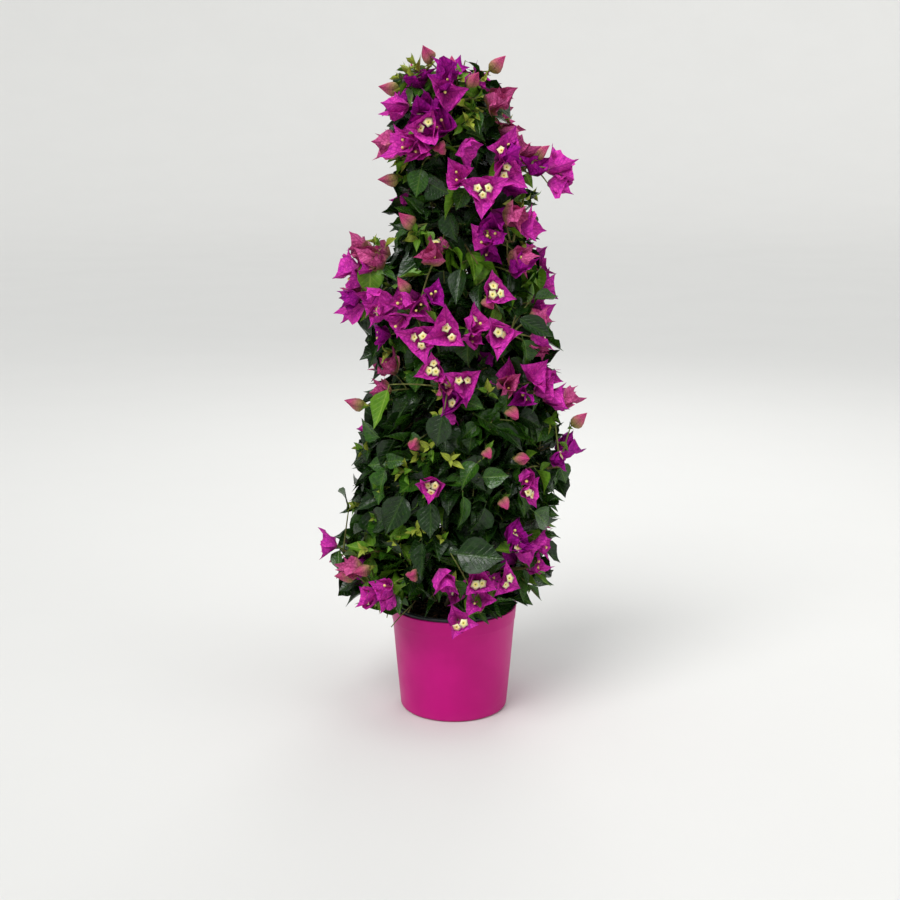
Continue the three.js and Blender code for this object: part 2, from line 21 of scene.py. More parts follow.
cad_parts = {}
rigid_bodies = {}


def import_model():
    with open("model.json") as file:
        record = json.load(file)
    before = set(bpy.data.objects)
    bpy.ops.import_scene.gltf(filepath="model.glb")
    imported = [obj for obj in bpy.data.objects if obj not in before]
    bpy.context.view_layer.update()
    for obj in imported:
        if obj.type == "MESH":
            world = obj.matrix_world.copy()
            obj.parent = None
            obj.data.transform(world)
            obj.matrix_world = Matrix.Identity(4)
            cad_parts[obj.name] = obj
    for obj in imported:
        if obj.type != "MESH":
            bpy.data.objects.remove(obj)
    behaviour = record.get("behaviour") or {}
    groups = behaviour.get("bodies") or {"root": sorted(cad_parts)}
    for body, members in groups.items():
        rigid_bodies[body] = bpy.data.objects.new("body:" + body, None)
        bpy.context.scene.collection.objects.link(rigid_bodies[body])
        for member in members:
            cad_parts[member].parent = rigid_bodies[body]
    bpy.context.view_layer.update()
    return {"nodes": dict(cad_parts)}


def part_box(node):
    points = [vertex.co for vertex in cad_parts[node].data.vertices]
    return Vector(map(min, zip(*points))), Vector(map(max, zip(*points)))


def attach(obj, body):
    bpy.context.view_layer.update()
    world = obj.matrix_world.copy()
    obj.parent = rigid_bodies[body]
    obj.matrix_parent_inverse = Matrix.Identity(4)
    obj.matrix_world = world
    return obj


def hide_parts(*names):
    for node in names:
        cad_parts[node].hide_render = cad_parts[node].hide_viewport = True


log = logging.getLogger("bush")

MM = 0.001
UP = Vector((0.0, 0.0, 1.0))
PATTERN_MAP = "OFBake"
SHARP_ANGLE = math.radians(35)
SEED = 20411
WORD = 0xFFFFFFFF
GOLDEN_TURN = math.pi * (3 - math.sqrt(5))
GOLDEN_PART = 0.618
GOLDEN_SHARE = 0.7548776662

Pair = tuple[float, float]
Curve = tuple[Vector, Vector, Vector]
Faces = list[tuple[int, ...]]
Socket = bpy.types.NodeSocket


# Small sums ---------------------------------------------------------------------------------


def draw(*keys: int) -> float:
    """Gives a repeatable number from 0 to 1 for a list of whole numbers, as the part's source does.

    Args:
        keys: The whole numbers.

    Returns:
        A number from 0 up to 1.
    """
    h = SEED
    for key in keys:
        h = ((h ^ (key + 40503)) * 0x85EBCA6B) & WORD
        h ^= h >> 13
        h = (h * 0xC2B2AE35) & WORD
        h ^= h >> 16
    return h / 2**32


def between(low: float, high: float, share: float) -> float:
    """Returns the value that lies a share of the way from low to high."""
    return low + (high - low) * share


def drawn(low: float, high: float, *keys: int) -> float:
    """Returns a repeatable value from low to high."""
    return between(low, high, draw(*keys))


def level(bearing: float) -> Vector:
    """Returns the level direction at a bearing in radians."""
    return Vector((math.cos(bearing), math.sin(bearing), 0.0))


def to_the_right(out: Vector) -> Vector:
    """Returns the level direction square to another that runs towards +X."""
    side = Vector((-out.y, out.x, 0.0))
    return side if side.x > 0 else -side


def spun(way: Vector, axis: Vector, angle: float) -> Vector:
    """Returns a direction turned about an axis by an angle in radians."""
    turned_way = way.copy()
    turned_way.rotate(Quaternion(axis, angle))
    return turned_way


def tipped(axis: Vector, radial: Vector, angle: float) -> tuple[Vector, Vector]:
    """Returns the direction tipped from an axis to one square to it, and its upper face's."""
    along = axis * math.cos(angle) + radial * math.sin(angle)
    return along, axis * math.sin(angle) - radial * math.cos(angle)


def bend_at(curve: Curve, t: float) -> tuple[Vector, Vector]:
    """Reads a curve.

    Args:
        curve: Its start, its control point and its end.
        t: The share of the way along.

    Returns:
        The point and the direction there.
    """
    a, b, c = curve
    point = a * (1 - t) ** 2 + b * (2 * t * (1 - t)) + c * t**2
    ahead = (b - a) * (1 - t) + (c - b) * t
    return point, ahead.normalized()


def paint(code: str) -> tuple[float, float, float, float]:
    """Turns a screen colour into a linear one.

    Args:
        code: Six hexadecimal digits.

    Returns:
        Red, green, blue and alpha from 0 to 1.
    """

    def linear(part: str) -> float:
        """Returns one channel in linear light."""
        value = int(part, 16) / 255
        return value / 12.92 if value <= 0.04045 else ((value + 0.055) / 1.055) ** 2.4

    return (linear(code[0:2]), linear(code[2:4]), linear(code[4:6]), 1.0)


# Node sheets and finishes -------------------------------------------------------------------


class NodeSheet:
    """Adds and links the nodes of one tree."""

    def __init__(self, tree: bpy.types.NodeTree) -> None:
        """Takes the tree to write on."""
        self.tree = tree

    def add(self, kind: str, inputs: dict[int | str, Any] | None = None, **props: Any) -> bpy.types.Node:
        """Adds a node.

        Args:
            kind: The node's type.
            inputs: Values or sockets by the input's name or number.
            props: The node's own settings.

        Returns:
            The new node.
        """
        node = self.tree.nodes.new(kind)
        for name, value in props.items():
            setattr(node, name, value)
        for key, value in (inputs or {}).items():
            if isinstance(value, Socket):
                self.tree.links.new(value, node.inputs[key])
            else:
                node.inputs[key].default_value = value
        return node

    def math(self, operation: str, *values: Any) -> Socket:
        """Adds a sum of numbers or sockets, and returns its socket."""
        return self.add("ShaderNodeMath", dict(enumerate(values)), operation=operation).outputs[0]

    def ramp(self, value: Any, low: float, high: float, start: float = 0.0, end: float = 1.0) -> Any:
        """Adds a smooth step from start to end as a value goes from low to high."""
        inputs = {"Value": value, "From Min": low, "From Max": high, "To Min": start, "To Max": end}
        return self.add("ShaderNodeMapRange", inputs, interpolation_type="SMOOTHSTEP").outputs[0]

    def mix(self, share: Any, a: Any, b: Any) -> Socket:
        """Adds a mix of two colours.

        Args:
            share: How much of the second.
            a: The first colour or socket.
            b: The second colour or socket.

        Returns:
            The mixed colour's socket.
        """
        node = self.add("ShaderNodeMix", data_type="RGBA")
        for socket, value in ((node.inputs[0], share), (node.inputs[6], a), (node.inputs[7], b)):
            if isinstance(value, Socket):
                self.tree.links.new(value, socket)
            else:
                socket.default_value = value
        return node.outputs[2]

    def object_place(self) -> Socket:
        """Returns the Object coordinates' socket."""
        return self.add("ShaderNodeTexCoord").outputs["Object"]

    def map_place(self) -> tuple[Socket, Any]:
        """Returns the pattern map's socket, and the sockets of its parts."""
        place = self.add("ShaderNodeUVMap", uv_map=PATTERN_MAP).outputs[0]
        return place, self.add("ShaderNodeSeparateXYZ", {0: place}).outputs

    def stored(self, name: str, kind: str) -> Socket:
        """Returns the socket of a point's own value."""
        return self.add("GeometryNodeInputNamedAttribute", {"Name": name}, data_type=kind).outputs[0]

    def relief(self, height: Any, strength: float, depth: float) -> Socket:
        """Adds a bump of a depth in metres, and returns its normal's socket."""
        inputs = {"Height": height, "Strength": strength, "Distance": depth}
        return self.add("ShaderNodeBump", inputs).outputs[0]

    def cloud(self, place: Any, scale: Any, detail: float = 3.0) -> Socket:
        """Adds a noise at a place, of so many octaves, and returns its value's socket."""
        inputs = {"Vector": place, "Scale": scale, "Detail": detail}
        return self.add("ShaderNodeTexNoise", inputs).outputs[0]


@dataclass(frozen=True)
class Finish:
    """What every finish has: a name and the shader's plain numbers."""

    name: str
    specular: float = 0.5

    def build(self) -> bpy.types.Material:
        """Builds the material.

        Returns:
            The material.
        """
        material = bpy.data.materials.new(self.name)
        material.use_nodes = True
        sheet = NodeSheet(material.node_tree)
        shader = material.node_tree.nodes["Principled BSDF"]
        shader.inputs["Specular IOR Level"].default_value = self.specular
        for name, socket in self.write(sheet).items():
            sheet.tree.links.new(socket, shader.inputs[name])
        return material

    def write(self, sheet: NodeSheet) -> dict[str, Socket]:
        """Adds the nodes, and returns the sockets for the shader by its inputs' names."""
        raise NotImplementedError


@dataclass(frozen=True)
class VeinedFinish(Finish):
    """A leaf or a bract: one colour with a midrib, side veins, a net of fine ones and mottling."""

    base: str = "24491f"
    shade: str = "16301a"
    vein: str = "55752f"
    foot: str = "24491f"
    foot_share: float = 0.0
    vein_count: float = 7.0
    vein_slant: float = 2.4
    vein_share: float = 0.45
    roughness: Pair = (0.3, 0.44)
    depth: float = 0.001
    net: float = 0.0
    rib_edges: Pair = (0.03, 0.1)
    line_edges: Pair = (0.03, 0.13)
    net_edges: Pair = (0.02, 0.09)
    net_scale: float = 9.0

    def write(self, sheet: NodeSheet) -> dict[str, Socket]:
        """Adds the nodes, which read only the pattern map.

        Args:
            sheet: The material's nodes.

        Returns:
            The sockets for the shader.
        """
        place, parts = sheet.map_place()
        across = sheet.math("MULTIPLY", sheet.math("ABSOLUTE", sheet.math("SUBTRACT", parts[0], 0.5)), 2.0)
        rib = sheet.ramp(across, *self.rib_edges, 1.0, 0.0)
        steps = sheet.math("MULTIPLY", parts[1], self.vein_count)
        slant = sheet.math("MULTIPLY", across, self.vein_slant)
        wave = sheet.math("FRACT", sheet.math("SUBTRACT", steps, slant))
        beside = sheet.math("ABSOLUTE", sheet.math("SUBTRACT", wave, 0.5))
        line = sheet.ramp(beside, *self.line_edges, 1.0, 0.0)
        fading = sheet.math("MULTIPLY", line, sheet.ramp(across, 0.2, 1.0, 0.75, 0.1))
        veins = sheet.math("MAXIMUM", rib, fading)
        if self.net:
            inputs = {"Vector": place, "Scale": self.net_scale}
            cells = sheet.add("ShaderNodeTexVoronoi", inputs, feature="DISTANCE_TO_EDGE")
            fine = sheet.ramp(cells.outputs["Distance"], *self.net_edges, 1.0, 0.0)
            veins = sheet.math("MAXIMUM", veins, sheet.math("MULTIPLY", fine, self.net))
        mottle = sheet.cloud(place, 5.0, 4.0)
        body = sheet.mix(sheet.ramp(mottle, 0.35, 0.68), paint(self.base), paint(self.shade))
        foot = sheet.ramp(parts[1], 0.0, max(self.foot_share, 0.01), 0.9, 0.0)
        footed = sheet.mix(foot, body, paint(self.foot)) if self.foot_share else body
        colour = sheet.mix(sheet.math("MULTIPLY", veins, self.vein_share), footed, paint(self.vein))
        swell = sheet.math("ADD", sheet.math("MULTIPLY", veins, -0.6), sheet.cloud(place, 9.0, 2.0))
        return {
            "Base Color": colour,
            "Roughness": sheet.ramp(mottle, 0.3, 0.7, *self.roughness),
            "Normal": sheet.relief(swell, 0.7, self.depth),
        }


@dataclass(frozen=True)
class PaperyFinish(VeinedFinish):
    """A bract: paper-thin, with a dense net of veins under a dry surface."""

    vein_slant: float = 3.2
    vein_share: float = 0.6
    roughness: Pair = (0.5, 0.66)
    depth: float = 0.002
    net: float = 0.8


@dataclass(frozen=True)
class FloretFinish(Finish):
    """A small cream star with a dark green throat, on a tube that is flushed below."""

    petal: str = "fffac4"
    ring: str = "f4e884"
    throat: str = "6a6a2a"
    tube: str = "b0507c"

    def write(self, sheet: NodeSheet) -> dict[str, Socket]:
        """Adds the nodes: the map's U runs out from the throat, and V is 1 on the tube.

        Args:
            sheet: The material's nodes.

        Returns:
            The sockets for the shader.
        """
        place, parts = sheet.map_place()
        inner = sheet.mix(sheet.ramp(parts[0], 0.06, 0.2), paint(self.throat), paint(self.ring))
        star = sheet.mix(sheet.ramp(parts[0], 0.3, 0.62), inner, paint(self.petal))
        colour = sheet.mix(sheet.ramp(parts[1], 0.45, 0.55), star, paint(self.tube))
        rough = sheet.ramp(sheet.cloud(place, 12.0), 0.3, 0.7, 0.5, 0.65)
        return {"Base Color": colour, "Roughness": rough}


@dataclass(frozen=True)
class BarkFinish(Finish):
    """Bark: streaks that run up the limb, with flecks and a rough relief."""

    light: str = "8d765a"
    dark: str = "4b3a2a"
    scale: float = 120.0
    stretch: float = 0.18
    depth: float = 0.0012

    def write(self, sheet: NodeSheet) -> dict[str, Socket]:
        """Adds the nodes, on Object coordinates.

        Args:
            sheet: The material's nodes.

        Returns:
            The sockets for the shader.
        """
        place = sheet.object_place()
        stretched = sheet.add("ShaderNodeMapping", {0: place, "Scale": (1.0, 1.0, self.stretch)}).outputs[0]
        streaks = sheet.cloud(stretched, self.scale, 5.0)
        flecks = sheet.cloud(place, self.scale * 3, 2.0)
        colour = sheet.mix(sheet.ramp(streaks, 0.36, 0.64), paint(self.dark), paint(self.light))
        flecked = sheet.mix(sheet.ramp(flecks, 0.6, 0.75, 0.0, 0.5), colour, paint(self.dark))
        return {
            "Base Color": flecked,
            "Roughness": sheet.ramp(flecks, 0.3, 0.7, 0.75, 0.95),
            "Normal": sheet.relief(sheet.math("ADD", streaks, flecks), 0.6, self.depth),
        }


@dataclass(frozen=True)
class PlasticFinish(Finish):
    """Moulded plastic: one colour with the faintest clouding, dust low down and fine grain."""

    base: str = "c0007a"
    cloud: str = "b80074"
    dust: str = "c03884"
    dust_top: float = 0.02
    roughness: Pair = (0.36, 0.5)

    def write(self, sheet: NodeSheet) -> dict[str, Socket]:
        """Adds the nodes, on Object coordinates.

        Args:
            sheet: The material's nodes.

        Returns:
            The sockets for the shader.
        """
        place = sheet.object_place()
        height = sheet.add("ShaderNodeSeparateXYZ", {0: place}).outputs[2]
        clouds = sheet.cloud(place, 16.0, 4.0)
        grain = sheet.cloud(place, 900.0, 1.0)
        colour = sheet.mix(sheet.ramp(clouds, 0.4, 0.65), paint(self.base), paint(self.cloud))
        low = sheet.math("MULTIPLY", sheet.ramp(height, 0.0, self.dust_top, 0.25, 0.0), clouds)
        return {
            "Base Color": sheet.mix(low, colour, paint(self.dust)),
            "Roughness": sheet.ramp(clouds, 0.3, 0.7, *self.roughness),
            "Normal": sheet.relief(grain, 0.08, 0.0003),
        }


@dataclass(frozen=True)
class EarthFinish(Finish):
    """Damp peat or bark chips: crumbly, dark, with paler fibres."""

    dark: str = "1c130d"
    light: str = "5a4030"
    scale: float = 180.0

    def write(self, sheet: NodeSheet) -> dict[str, Socket]:
        """Adds the nodes, on Object coordinates.

        Args:
            sheet: The material's nodes.

        Returns:
            The sockets for the shader.
        """
        place = sheet.object_place()
        crumbs = sheet.cloud(place, self.scale, 6.0)
        patches = sheet.cloud(place, self.scale / 3, 2.0)
        share = sheet.math("MULTIPLY", sheet.ramp(crumbs, 0.42, 0.68), sheet.ramp(patches, 0.3, 0.7, 0.3, 1.0))
        return {
            "Base Color": sheet.mix(share, paint(self.dark), paint(self.light)),
            "Roughness": sheet.ramp(crumbs, 0.3, 0.7, 0.8, 1.0),
            "Normal": sheet.relief(crumbs, 0.9, 0.003),
        }


@dataclass(frozen=True)
class FloorFinish(Finish):
    """A pale, even floor."""

    base: str = "dcdbd8"
    cloud: str = "dbdad7"

    def write(self, sheet: NodeSheet) -> dict[str, Socket]:
        """Adds the nodes, on Object coordinates.

        Args:
            sheet: The material's nodes.

        Returns:
            The sockets for the shader.
        """
        place = sheet.object_place()
        clouds = sheet.cloud(place, 3.0)
        colour = sheet.mix(sheet.ramp(clouds, 0.3, 0.7), paint(self.base), paint(self.cloud))
        rough = sheet.ramp(clouds, 0.3, 0.7, 0.8, 0.9)
        return {"Base Color": colour, "Roughness": rough}


class LeafTint(Enum):
    """The greens that leaves come in, dealt out by twig."""

    DARK = VeinedFinish("leaf_dark", 0.36, "1a360e", "0f240b", "3a581e", roughness=(0.2, 0.3))
    FULL = VeinedFinish("leaf_full", 0.36, "2f5813", "1c400c", "5f8030", roughness=(0.2, 0.32))
    FRESH = VeinedFinish("leaf_fresh", 0.3, "5f8c1e", "4f7c18", "9dbb4c")
    YOUNG = VeinedFinish("leaf_young", 0.3, "a2ae3a", "86962e", "c2ca70")


class BractTint(Enum):
    """The pinks and purples that bracts come in, dealt out by blossom. The deep violet and the bright pink are
    partly the bracts' own range of colour and partly painted shade and painted light: deep stands for bracts in
    shade, bright for bracts in full light.
    """

    # Deep violet: partly the bracts' own darker tone, partly painted shade for bracts that sit in shade.
    DEEP = PaperyFinish("bract_deep", 0.08, "c01ea6", "94128c", "6a0a5e", "7c2458", 0.2)
    # Bright pink: partly the bracts' own lighter tone, partly painted light for bracts in full light.
    BRIGHT = PaperyFinish("bract_bright", 0.1, "e642ba", "c226a8", "8c1474", "ac4488", 0.2, net=0.75)
    DUSKY = PaperyFinish("bract_dusky", 0.1, "de62a0", "be4480", "8a2456", "948440", 0.4)


LANTERN_FINISH = PaperyFinish(
    "bud_lantern", 0.2, "cc4c80", "ac3466", "74284c", "8a9440", 0.8, 9.0, 0.4, roughness=(0.5, 0.65), net=0.0
)
FLORET_FINISH = FloretFinish("floret_cream", 0.2)
TRUNK_FINISH = BarkFinish("trunk_bark", 0.2, "a48f70", "5d4a37")
BOUGH_FINISH = BarkFinish("bough_bark", 0.2, "8f7a58", "54432f", 160.0)
TWIG_FINISH = BarkFinish("twig_bark", 0.2, "766c3e", "53442c", 220.0, depth=0.0006)
SPRIG_FINISH = BarkFinish("sprig_bark", 0.3, "7a8440", "5e5c32", 200.0, depth=0.0004)
POT_FINISH = PlasticFinish("pot_magenta", 0.22)
INNER_FINISH = PlasticFinish(
    "inner_pot_dark", 0.5, "161c22", "10151a", "363d40", dust_top=0.01, roughness=(0.38, 0.55)
)
PEAT_FINISH = EarthFinish("peat", 0.2)
CHIP_FINISH = EarthFinish("bark_chips", 0.3, "3d2a1e", "94704e", 140.0)


# Meshes and geometry trees ------------------------------------------------------------------


def make_mesh(
    name: str,
    corners: Sequence[Sequence[float]],
    faces: Sequence[Sequence[int]],
    maps: Sequence[Pair] = (),
) -> bpy.types.Mesh:
    """Makes a smooth mesh.

    Args:
        name: The mesh's name.
        corners: The corner points.
        faces: The corners of each face.
        maps: Each corner's place on the pattern map, if it has one.

    Returns:
        The mesh.
    """
    mesh = bpy.data.meshes.new(name)
    mesh.from_pydata([tuple(p) for p in corners], [], [tuple(f) for f in faces])
    if maps:
        layer = mesh.uv_layers.new(name=PATTERN_MAP)
        for loop in mesh.loops:
            layer.data[loop.index].uv = maps[loop.vertex_index]
    mesh.polygons.foreach_set("use_smooth", [True] * len(mesh.polygons))
    mesh.update()
    return mesh


def make_object(
    name: str, mesh: bpy.types.Mesh, material: bpy.types.Material | None = None
) -> bpy.types.Object:
    """Puts a mesh in the scene.

    Args:
        name: The object's name.
        mesh: Its mesh.
        material: Its material, if it has none yet.

    Returns:
        The object.
    """
    mesh.name = name
    if material:
        mesh.materials.clear()
        mesh.materials.append(material)
    piece = bpy.data.objects.new(name, mesh)
    bpy.context.scene.collection.objects.link(piece)
    return piece


def ring(radius: float, z: float, sides: int) -> list[tuple[float, float, float]]:
    """Returns the corners of a level ring about Z."""
    turns = [math.tau * i / sides for i in range(sides)]
    return [(radius * math.cos(a), radius * math.sin(a), z) for a in turns]


def bowl_faces(rings: int, sides: int, is_under: bool = False) -> Faces:
    """Numbers the faces of a fan round corner 0 and of the bands from ring to ring beyond it.

    Args:
        rings: The number of rings.
        sides: The corners of each.
        is_under: Whether the fan looks down instead of up.

    Returns:
        The corners of each face.
    """
    faces: Faces = []
    for i in range(sides):
        j = (i + 1) % sides
        faces.append((0, 1 + j, 1 + i) if is_under else (0, 1 + i, 1 + j))
        for r in range(rings - 1):
            a, b = 1 + r * sides, 1 + (r + 1) * sides
            faces.append((a + i, a + j, b + j, b + i) if is_under else (a + i, b + i, b + j, a + j))
    return faces


def tube_faces(rings: int, sides: int) -> Faces:
    """Returns the corners of each face from ring to ring of a tube along +Y."""
    steps = [(r * sides, i, (i + 1) % sides) for r in range(rings - 1) for i in range(sides)]
    return [(a + i, a + sides + i, a + sides + j, a + j) for a, i, j in steps]


def turned(
    name: str, profile: Sequence[Pair], sides: int, material: bpy.types.Material
) -> bpy.types.Object:
    """Turns a profile about Z.

    Args:
        name: The object's name.
        profile: Radius and height pairs that start and end on the axis.
        sides: The number of steps round.
        material: The finish.

    Returns:
        The turned object, closed, with sharp edges where the profile has them.
    """
    rings = profile[1:-1]
    corners = [corner for radius, z in rings for corner in ring(radius, z, sides)]
    corners = [(0.0, 0.0, profile[0][1]), *corners, (0.0, 0.0, profile[-1][1])]
    last = 1 + (len(rings) - 1) * sides
    faces = bowl_faces(len(rings), sides, is_under=True)
    faces += [(last + i, last + (i + 1) % sides, len(corners) - 1) for i in range(sides)]
    mesh = make_mesh(name, corners, faces)
    mesh.set_sharp_from_angle(angle=SHARP_ANGLE)
    return make_object(name, mesh, material)


def round_off(cx: float, cz: float, radius: float, start: float, end: float, steps: int) -> list[Pair]:
    """Returns the points of a round in a profile, about a centre and between two angles in degrees."""
    turns = [math.radians(between(start, end, i / steps)) for i in range(steps + 1)]
    return [(cx + radius * math.cos(a), cz + radius * math.sin(a)) for a in turns]


class GeometryTree:
    """A geometry tree that is built once and run on many pieces."""

    title = "tree"
    sockets: dict[str, str] = {}

    def __init__(self) -> None:
        """Builds the tree with its named inputs."""
        self.tree = bpy.data.node_groups.new(self.title, "GeometryNodeTree")
        add_socket = self.tree.interface.new_socket
        add_socket("Geometry", in_out="INPUT", socket_type="NodeSocketGeometry")
        for name, kind in self.sockets.items():
            add_socket(name, in_out="INPUT", socket_type="NodeSocket" + kind)
        add_socket("Material", in_out="INPUT", socket_type="NodeSocketMaterial")
        add_socket("Geometry", in_out="OUTPUT", socket_type="NodeSocketGeometry")
        sheet = NodeSheet(self.tree)
        source = sheet.add("NodeGroupInput")
        grown = self.write(sheet, source.outputs)
        real = sheet.add("GeometryNodeRealizeInstances", {0: grown}).outputs[0]
        inputs = {"Geometry": real, "Material": source.outputs["Material"]}
        dressed = sheet.add("GeometryNodeSetMaterial", inputs)
        sheet.add("NodeGroupOutput", {0: dressed.outputs[0]})

    def write(self, sheet: NodeSheet, inputs: Any) -> Socket:
        """Adds the nodes from the inputs to the result, and returns the result's socket."""
        raise NotImplementedError

    @staticmethod
    def set_shapes(sheet: NodeSheet, box: Any, inputs: dict[str, Any]) -> Socket:
        """Adds the nodes that set a box's shapes at points.

        Args:
            sheet: The tree's nodes.
            box: The socket of the collection of shapes.
            inputs: The points, with the turn, size and choice of shape at each.

        Returns:
            The instances.
        """
        picks = {"Collection": box, "Separate Children": True, "Reset Children": True}
        shapes = sheet.add("GeometryNodeCollectionInfo", picks).outputs[0]
        inputs |= {"Instance": shapes, "Pick Instance": True}
        return sheet.add("GeometryNodeInstanceOnPoints", inputs).outputs[0]

    def run(self, name: str, base: bpy.types.Mesh, values: dict[str, Any]) -> bpy.types.Object:
        """Runs the tree on a mesh and keeps the result as a plain mesh.

        Args:
            name: The new piece's name.
            base: The mesh that the tree starts from.
            values: The tree's inputs by name.

        Returns:
            The new piece.
        """
        holder = make_object(name + "_base", base)
        modifier = holder.modifiers.new(self.title, "NODES")
        modifier.node_group = self.tree
        for item in self.tree.interface.items_tree:
            if item.item_type == "SOCKET" and item.in_out == "INPUT" and item.name in values:
                modifier[item.identifier] = values[item.name]
        bpy.context.view_layer.update()
        done = holder.evaluated_get(bpy.context.evaluated_depsgraph_get())
        mesh = bpy.data.meshes.new_from_object(done)
        holder.modifiers.remove(modifier)
        bpy.data.objects.remove(holder)
        return make_object(name, mesh)


class ScatterTree(GeometryTree):
    """Sets shapes at points, each turned, sized and chosen by the point's own attributes."""

    title = "scatter shapes"
    sockets = {"Shapes": "Collection", "Size": "Float", "Spread": "Float", "Seed": "Int"}

    def write(self, sheet: NodeSheet, inputs: Any) -> Socket:
        """Adds the nodes.

        Args:
            sheet: The tree's nodes.
            inputs: The group's input sockets.

        Returns:
            The instances.
        """
        low = sheet.math("SUBTRACT", 1.0, inputs["Spread"])
        high = sheet.math("ADD", 1.0, inputs["Spread"])
        jitter = sheet.add("FunctionNodeRandomValue", {2: low, 3: high, 8: inputs["Seed"]}, data_type="FLOAT")
        size = sheet.math("MULTIPLY", sheet.stored("size", "FLOAT"), inputs["Size"])
        turn = sheet.stored("turn", "FLOAT_VECTOR")
        places = {
            "Points": inputs["Geometry"],
            "Instance Index": sheet.stored("variant", "INT"),
            "Rotation": sheet.add("FunctionNodeEulerToRotation", {0: turn}).outputs[0],
            "Scale": sheet.math("MULTIPLY", size, jitter.outputs[1]),
        }
        return self.set_shapes(sheet, inputs["Shapes"], places)


class SweepTree(GeometryTree):
    """Sweeps a ring along paths, as thick as each point says, with a relief pressed into it."""

    title = "sweep limbs"
    sockets = {"Sides": "Int", "Relief": "Float", "Relief Scale": "Float", "Relief Stretch": "Float"}

    def write(self, sheet: NodeSheet, inputs: Any) -> Socket:
        """Adds the nodes.

        Args:
            sheet: The tree's nodes.
            inputs: The group's input sockets.

        Returns:
            The swept limbs.
        """
        girth = sheet.stored("girth", "FLOAT")
        paths = sheet.add("GeometryNodeMeshToCurve", {0: inputs["Geometry"]}).outputs[0]
        rim = sheet.add("GeometryNodeCurvePrimitiveCircle", {"Resolution": inputs["Sides"], "Radius": 1.0})
        tube = sheet.add(
            "GeometryNodeCurveToMesh",
            {"Curve": paths, "Profile Curve": rim.outputs[0], "Scale": girth, "Fill Caps": True},
        ).outputs[0]
        stretch = sheet.add("ShaderNodeCombineXYZ", {0: 1.0, 1: 1.0, 2: inputs["Relief Stretch"]}).outputs[0]
        spot = sheet.add("GeometryNodeInputPosition").outputs[0]
        squeezed = sheet.add("ShaderNodeVectorMath", {0: spot, 1: stretch}, operation="MULTIPLY").outputs[0]
        cloud = sheet.cloud(squeezed, inputs["Relief Scale"])
        push = sheet.math("MULTIPLY", sheet.math("SUBTRACT", cloud, 0.5), inputs["Relief"])
        normal = sheet.add("GeometryNodeInputNormal").outputs[0]
        offset = sheet.add("ShaderNodeVectorMath", {0: normal, "Scale": push}, operation="SCALE").outputs[0]
        moved = sheet.add("GeometryNodeSetPosition", {"Geometry": tube, "Offset": offset}).outputs[0]
        return sheet.add("GeometryNodeSetShadeSmooth", {0: moved}).outputs[0]


class StrewTree(GeometryTree):
    """Strews shapes at random over a surface."""

    title = "strew chips"
    lean = 0.5
    sockets = {
        "Shapes": "Collection", "Density": "Float", "Smallest": "Float", "Largest": "Float", "Seed": "Int",
    }

    def write(self, sheet: NodeSheet, inputs: Any) -> Socket:
        """Adds the nodes.

        Args:
            sheet: The tree's nodes.
            inputs: The group's input sockets.

        Returns:
            The strewn shapes.
        """
        strewn = {"Mesh": inputs["Geometry"], "Density": inputs["Density"], "Seed": inputs["Seed"]}
        points = sheet.add("GeometryNodeDistributePointsOnFaces", strewn).outputs[0]
        sizes = {2: inputs["Smallest"], 3: inputs["Largest"], 8: inputs["Seed"]}
        size = sheet.add("FunctionNodeRandomValue", sizes, data_type="FLOAT").outputs[1]
        turns = {0: (-self.lean, -self.lean, 0.0), 1: (self.lean, self.lean, math.tau), 8: inputs["Seed"]}
        turn = sheet.add("FunctionNodeRandomValue", turns, data_type="FLOAT_VECTOR").outputs[0]
        rotation = sheet.add("FunctionNodeEulerToRotation", {0: turn}).outputs[0]
        return self.set_shapes(sheet, inputs["Shapes"], {"Points": points, "Rotation": rotation, "Scale": size})


class ShapeBox:
    """Holds template meshes in a collection that isn't in the scene, for the trees to draw on."""

    def __init__(self, name: str, meshes: Iterable[bpy.types.Mesh]) -> None:
        """Fills the box.

        Args:
            name: The collection's name.
            meshes: The templates, in the order of their numbers.
        """
        self.collection = bpy.data.collections.new(name)
        for i, mesh in enumerate(meshes):
            self.collection.objects.link(bpy.data.objects.new(f"{name}_{i:02d}", mesh))

    def empty(self) -> None:
        """Removes the templates."""
        for item in list(self.collection.objects):
            bpy.data.objects.remove(item)
        bpy.data.collections.remove(self.collection)


# The growth rule, in millimetres ------------------------------------------------------------


@dataclass(frozen=True)
class CrownRow:
    """The crown's outline at one height."""

    height: float
    shift: float
    half: float


@dataclass(frozen=True)
class Tier:
    """A ring of leafy masses round the trunk."""

    name: str
    low: float
    high: float
    count: int
    bearing: float


@dataclass(frozen=True)
class Spray:
    """A spray of blossom at the end of its own bough."""

    name: str
    height: float
    bearing: float
    reach: float
    radius: float
    tint: BractTint = BractTint.DEEP


class Carried(Enum):
    """What a sprig carries: a blossom's colour, how far it opens and its share of open florets, or else."""

    STARRY = (BractTint.BRIGHT, (0.7, 1.05), 0.85)
    BRIGHT = (BractTint.BRIGHT, (0.42, 0.95), 0.0)
    DEEP = (BractTint.DEEP, (0.4, 0.85), 0.0)
    DUSKY = (BractTint.DUSKY, (0.2, 0.55), 0.0)
    LANTERN = "a closed bud"
    LIME = "young lime leaves"


STARRY, BRIGHT, DEEP, DUSKY, LANTERN, LIME = Carried
DARK, FULL, FRESH, YOUNG = LeafTint


@dataclass(frozen=True)
class Sprig:
    """A sprig: what it carries, where, how that leans across and up, and its turn from hanging."""

    carried: Carried
    x: float
    y: float
    z: float
    lean: float = 0.0
    lift: float = 0.0
    turn: float | None = None


@dataclass(frozen=True)
class FacingLeaf:
    """A leaf that stands out by itself: its foot, how it points across and up, and its length."""

    tint: LeafTint
    x: float
    y: float
    z: float
    lean: float
    lift: float
    length: float


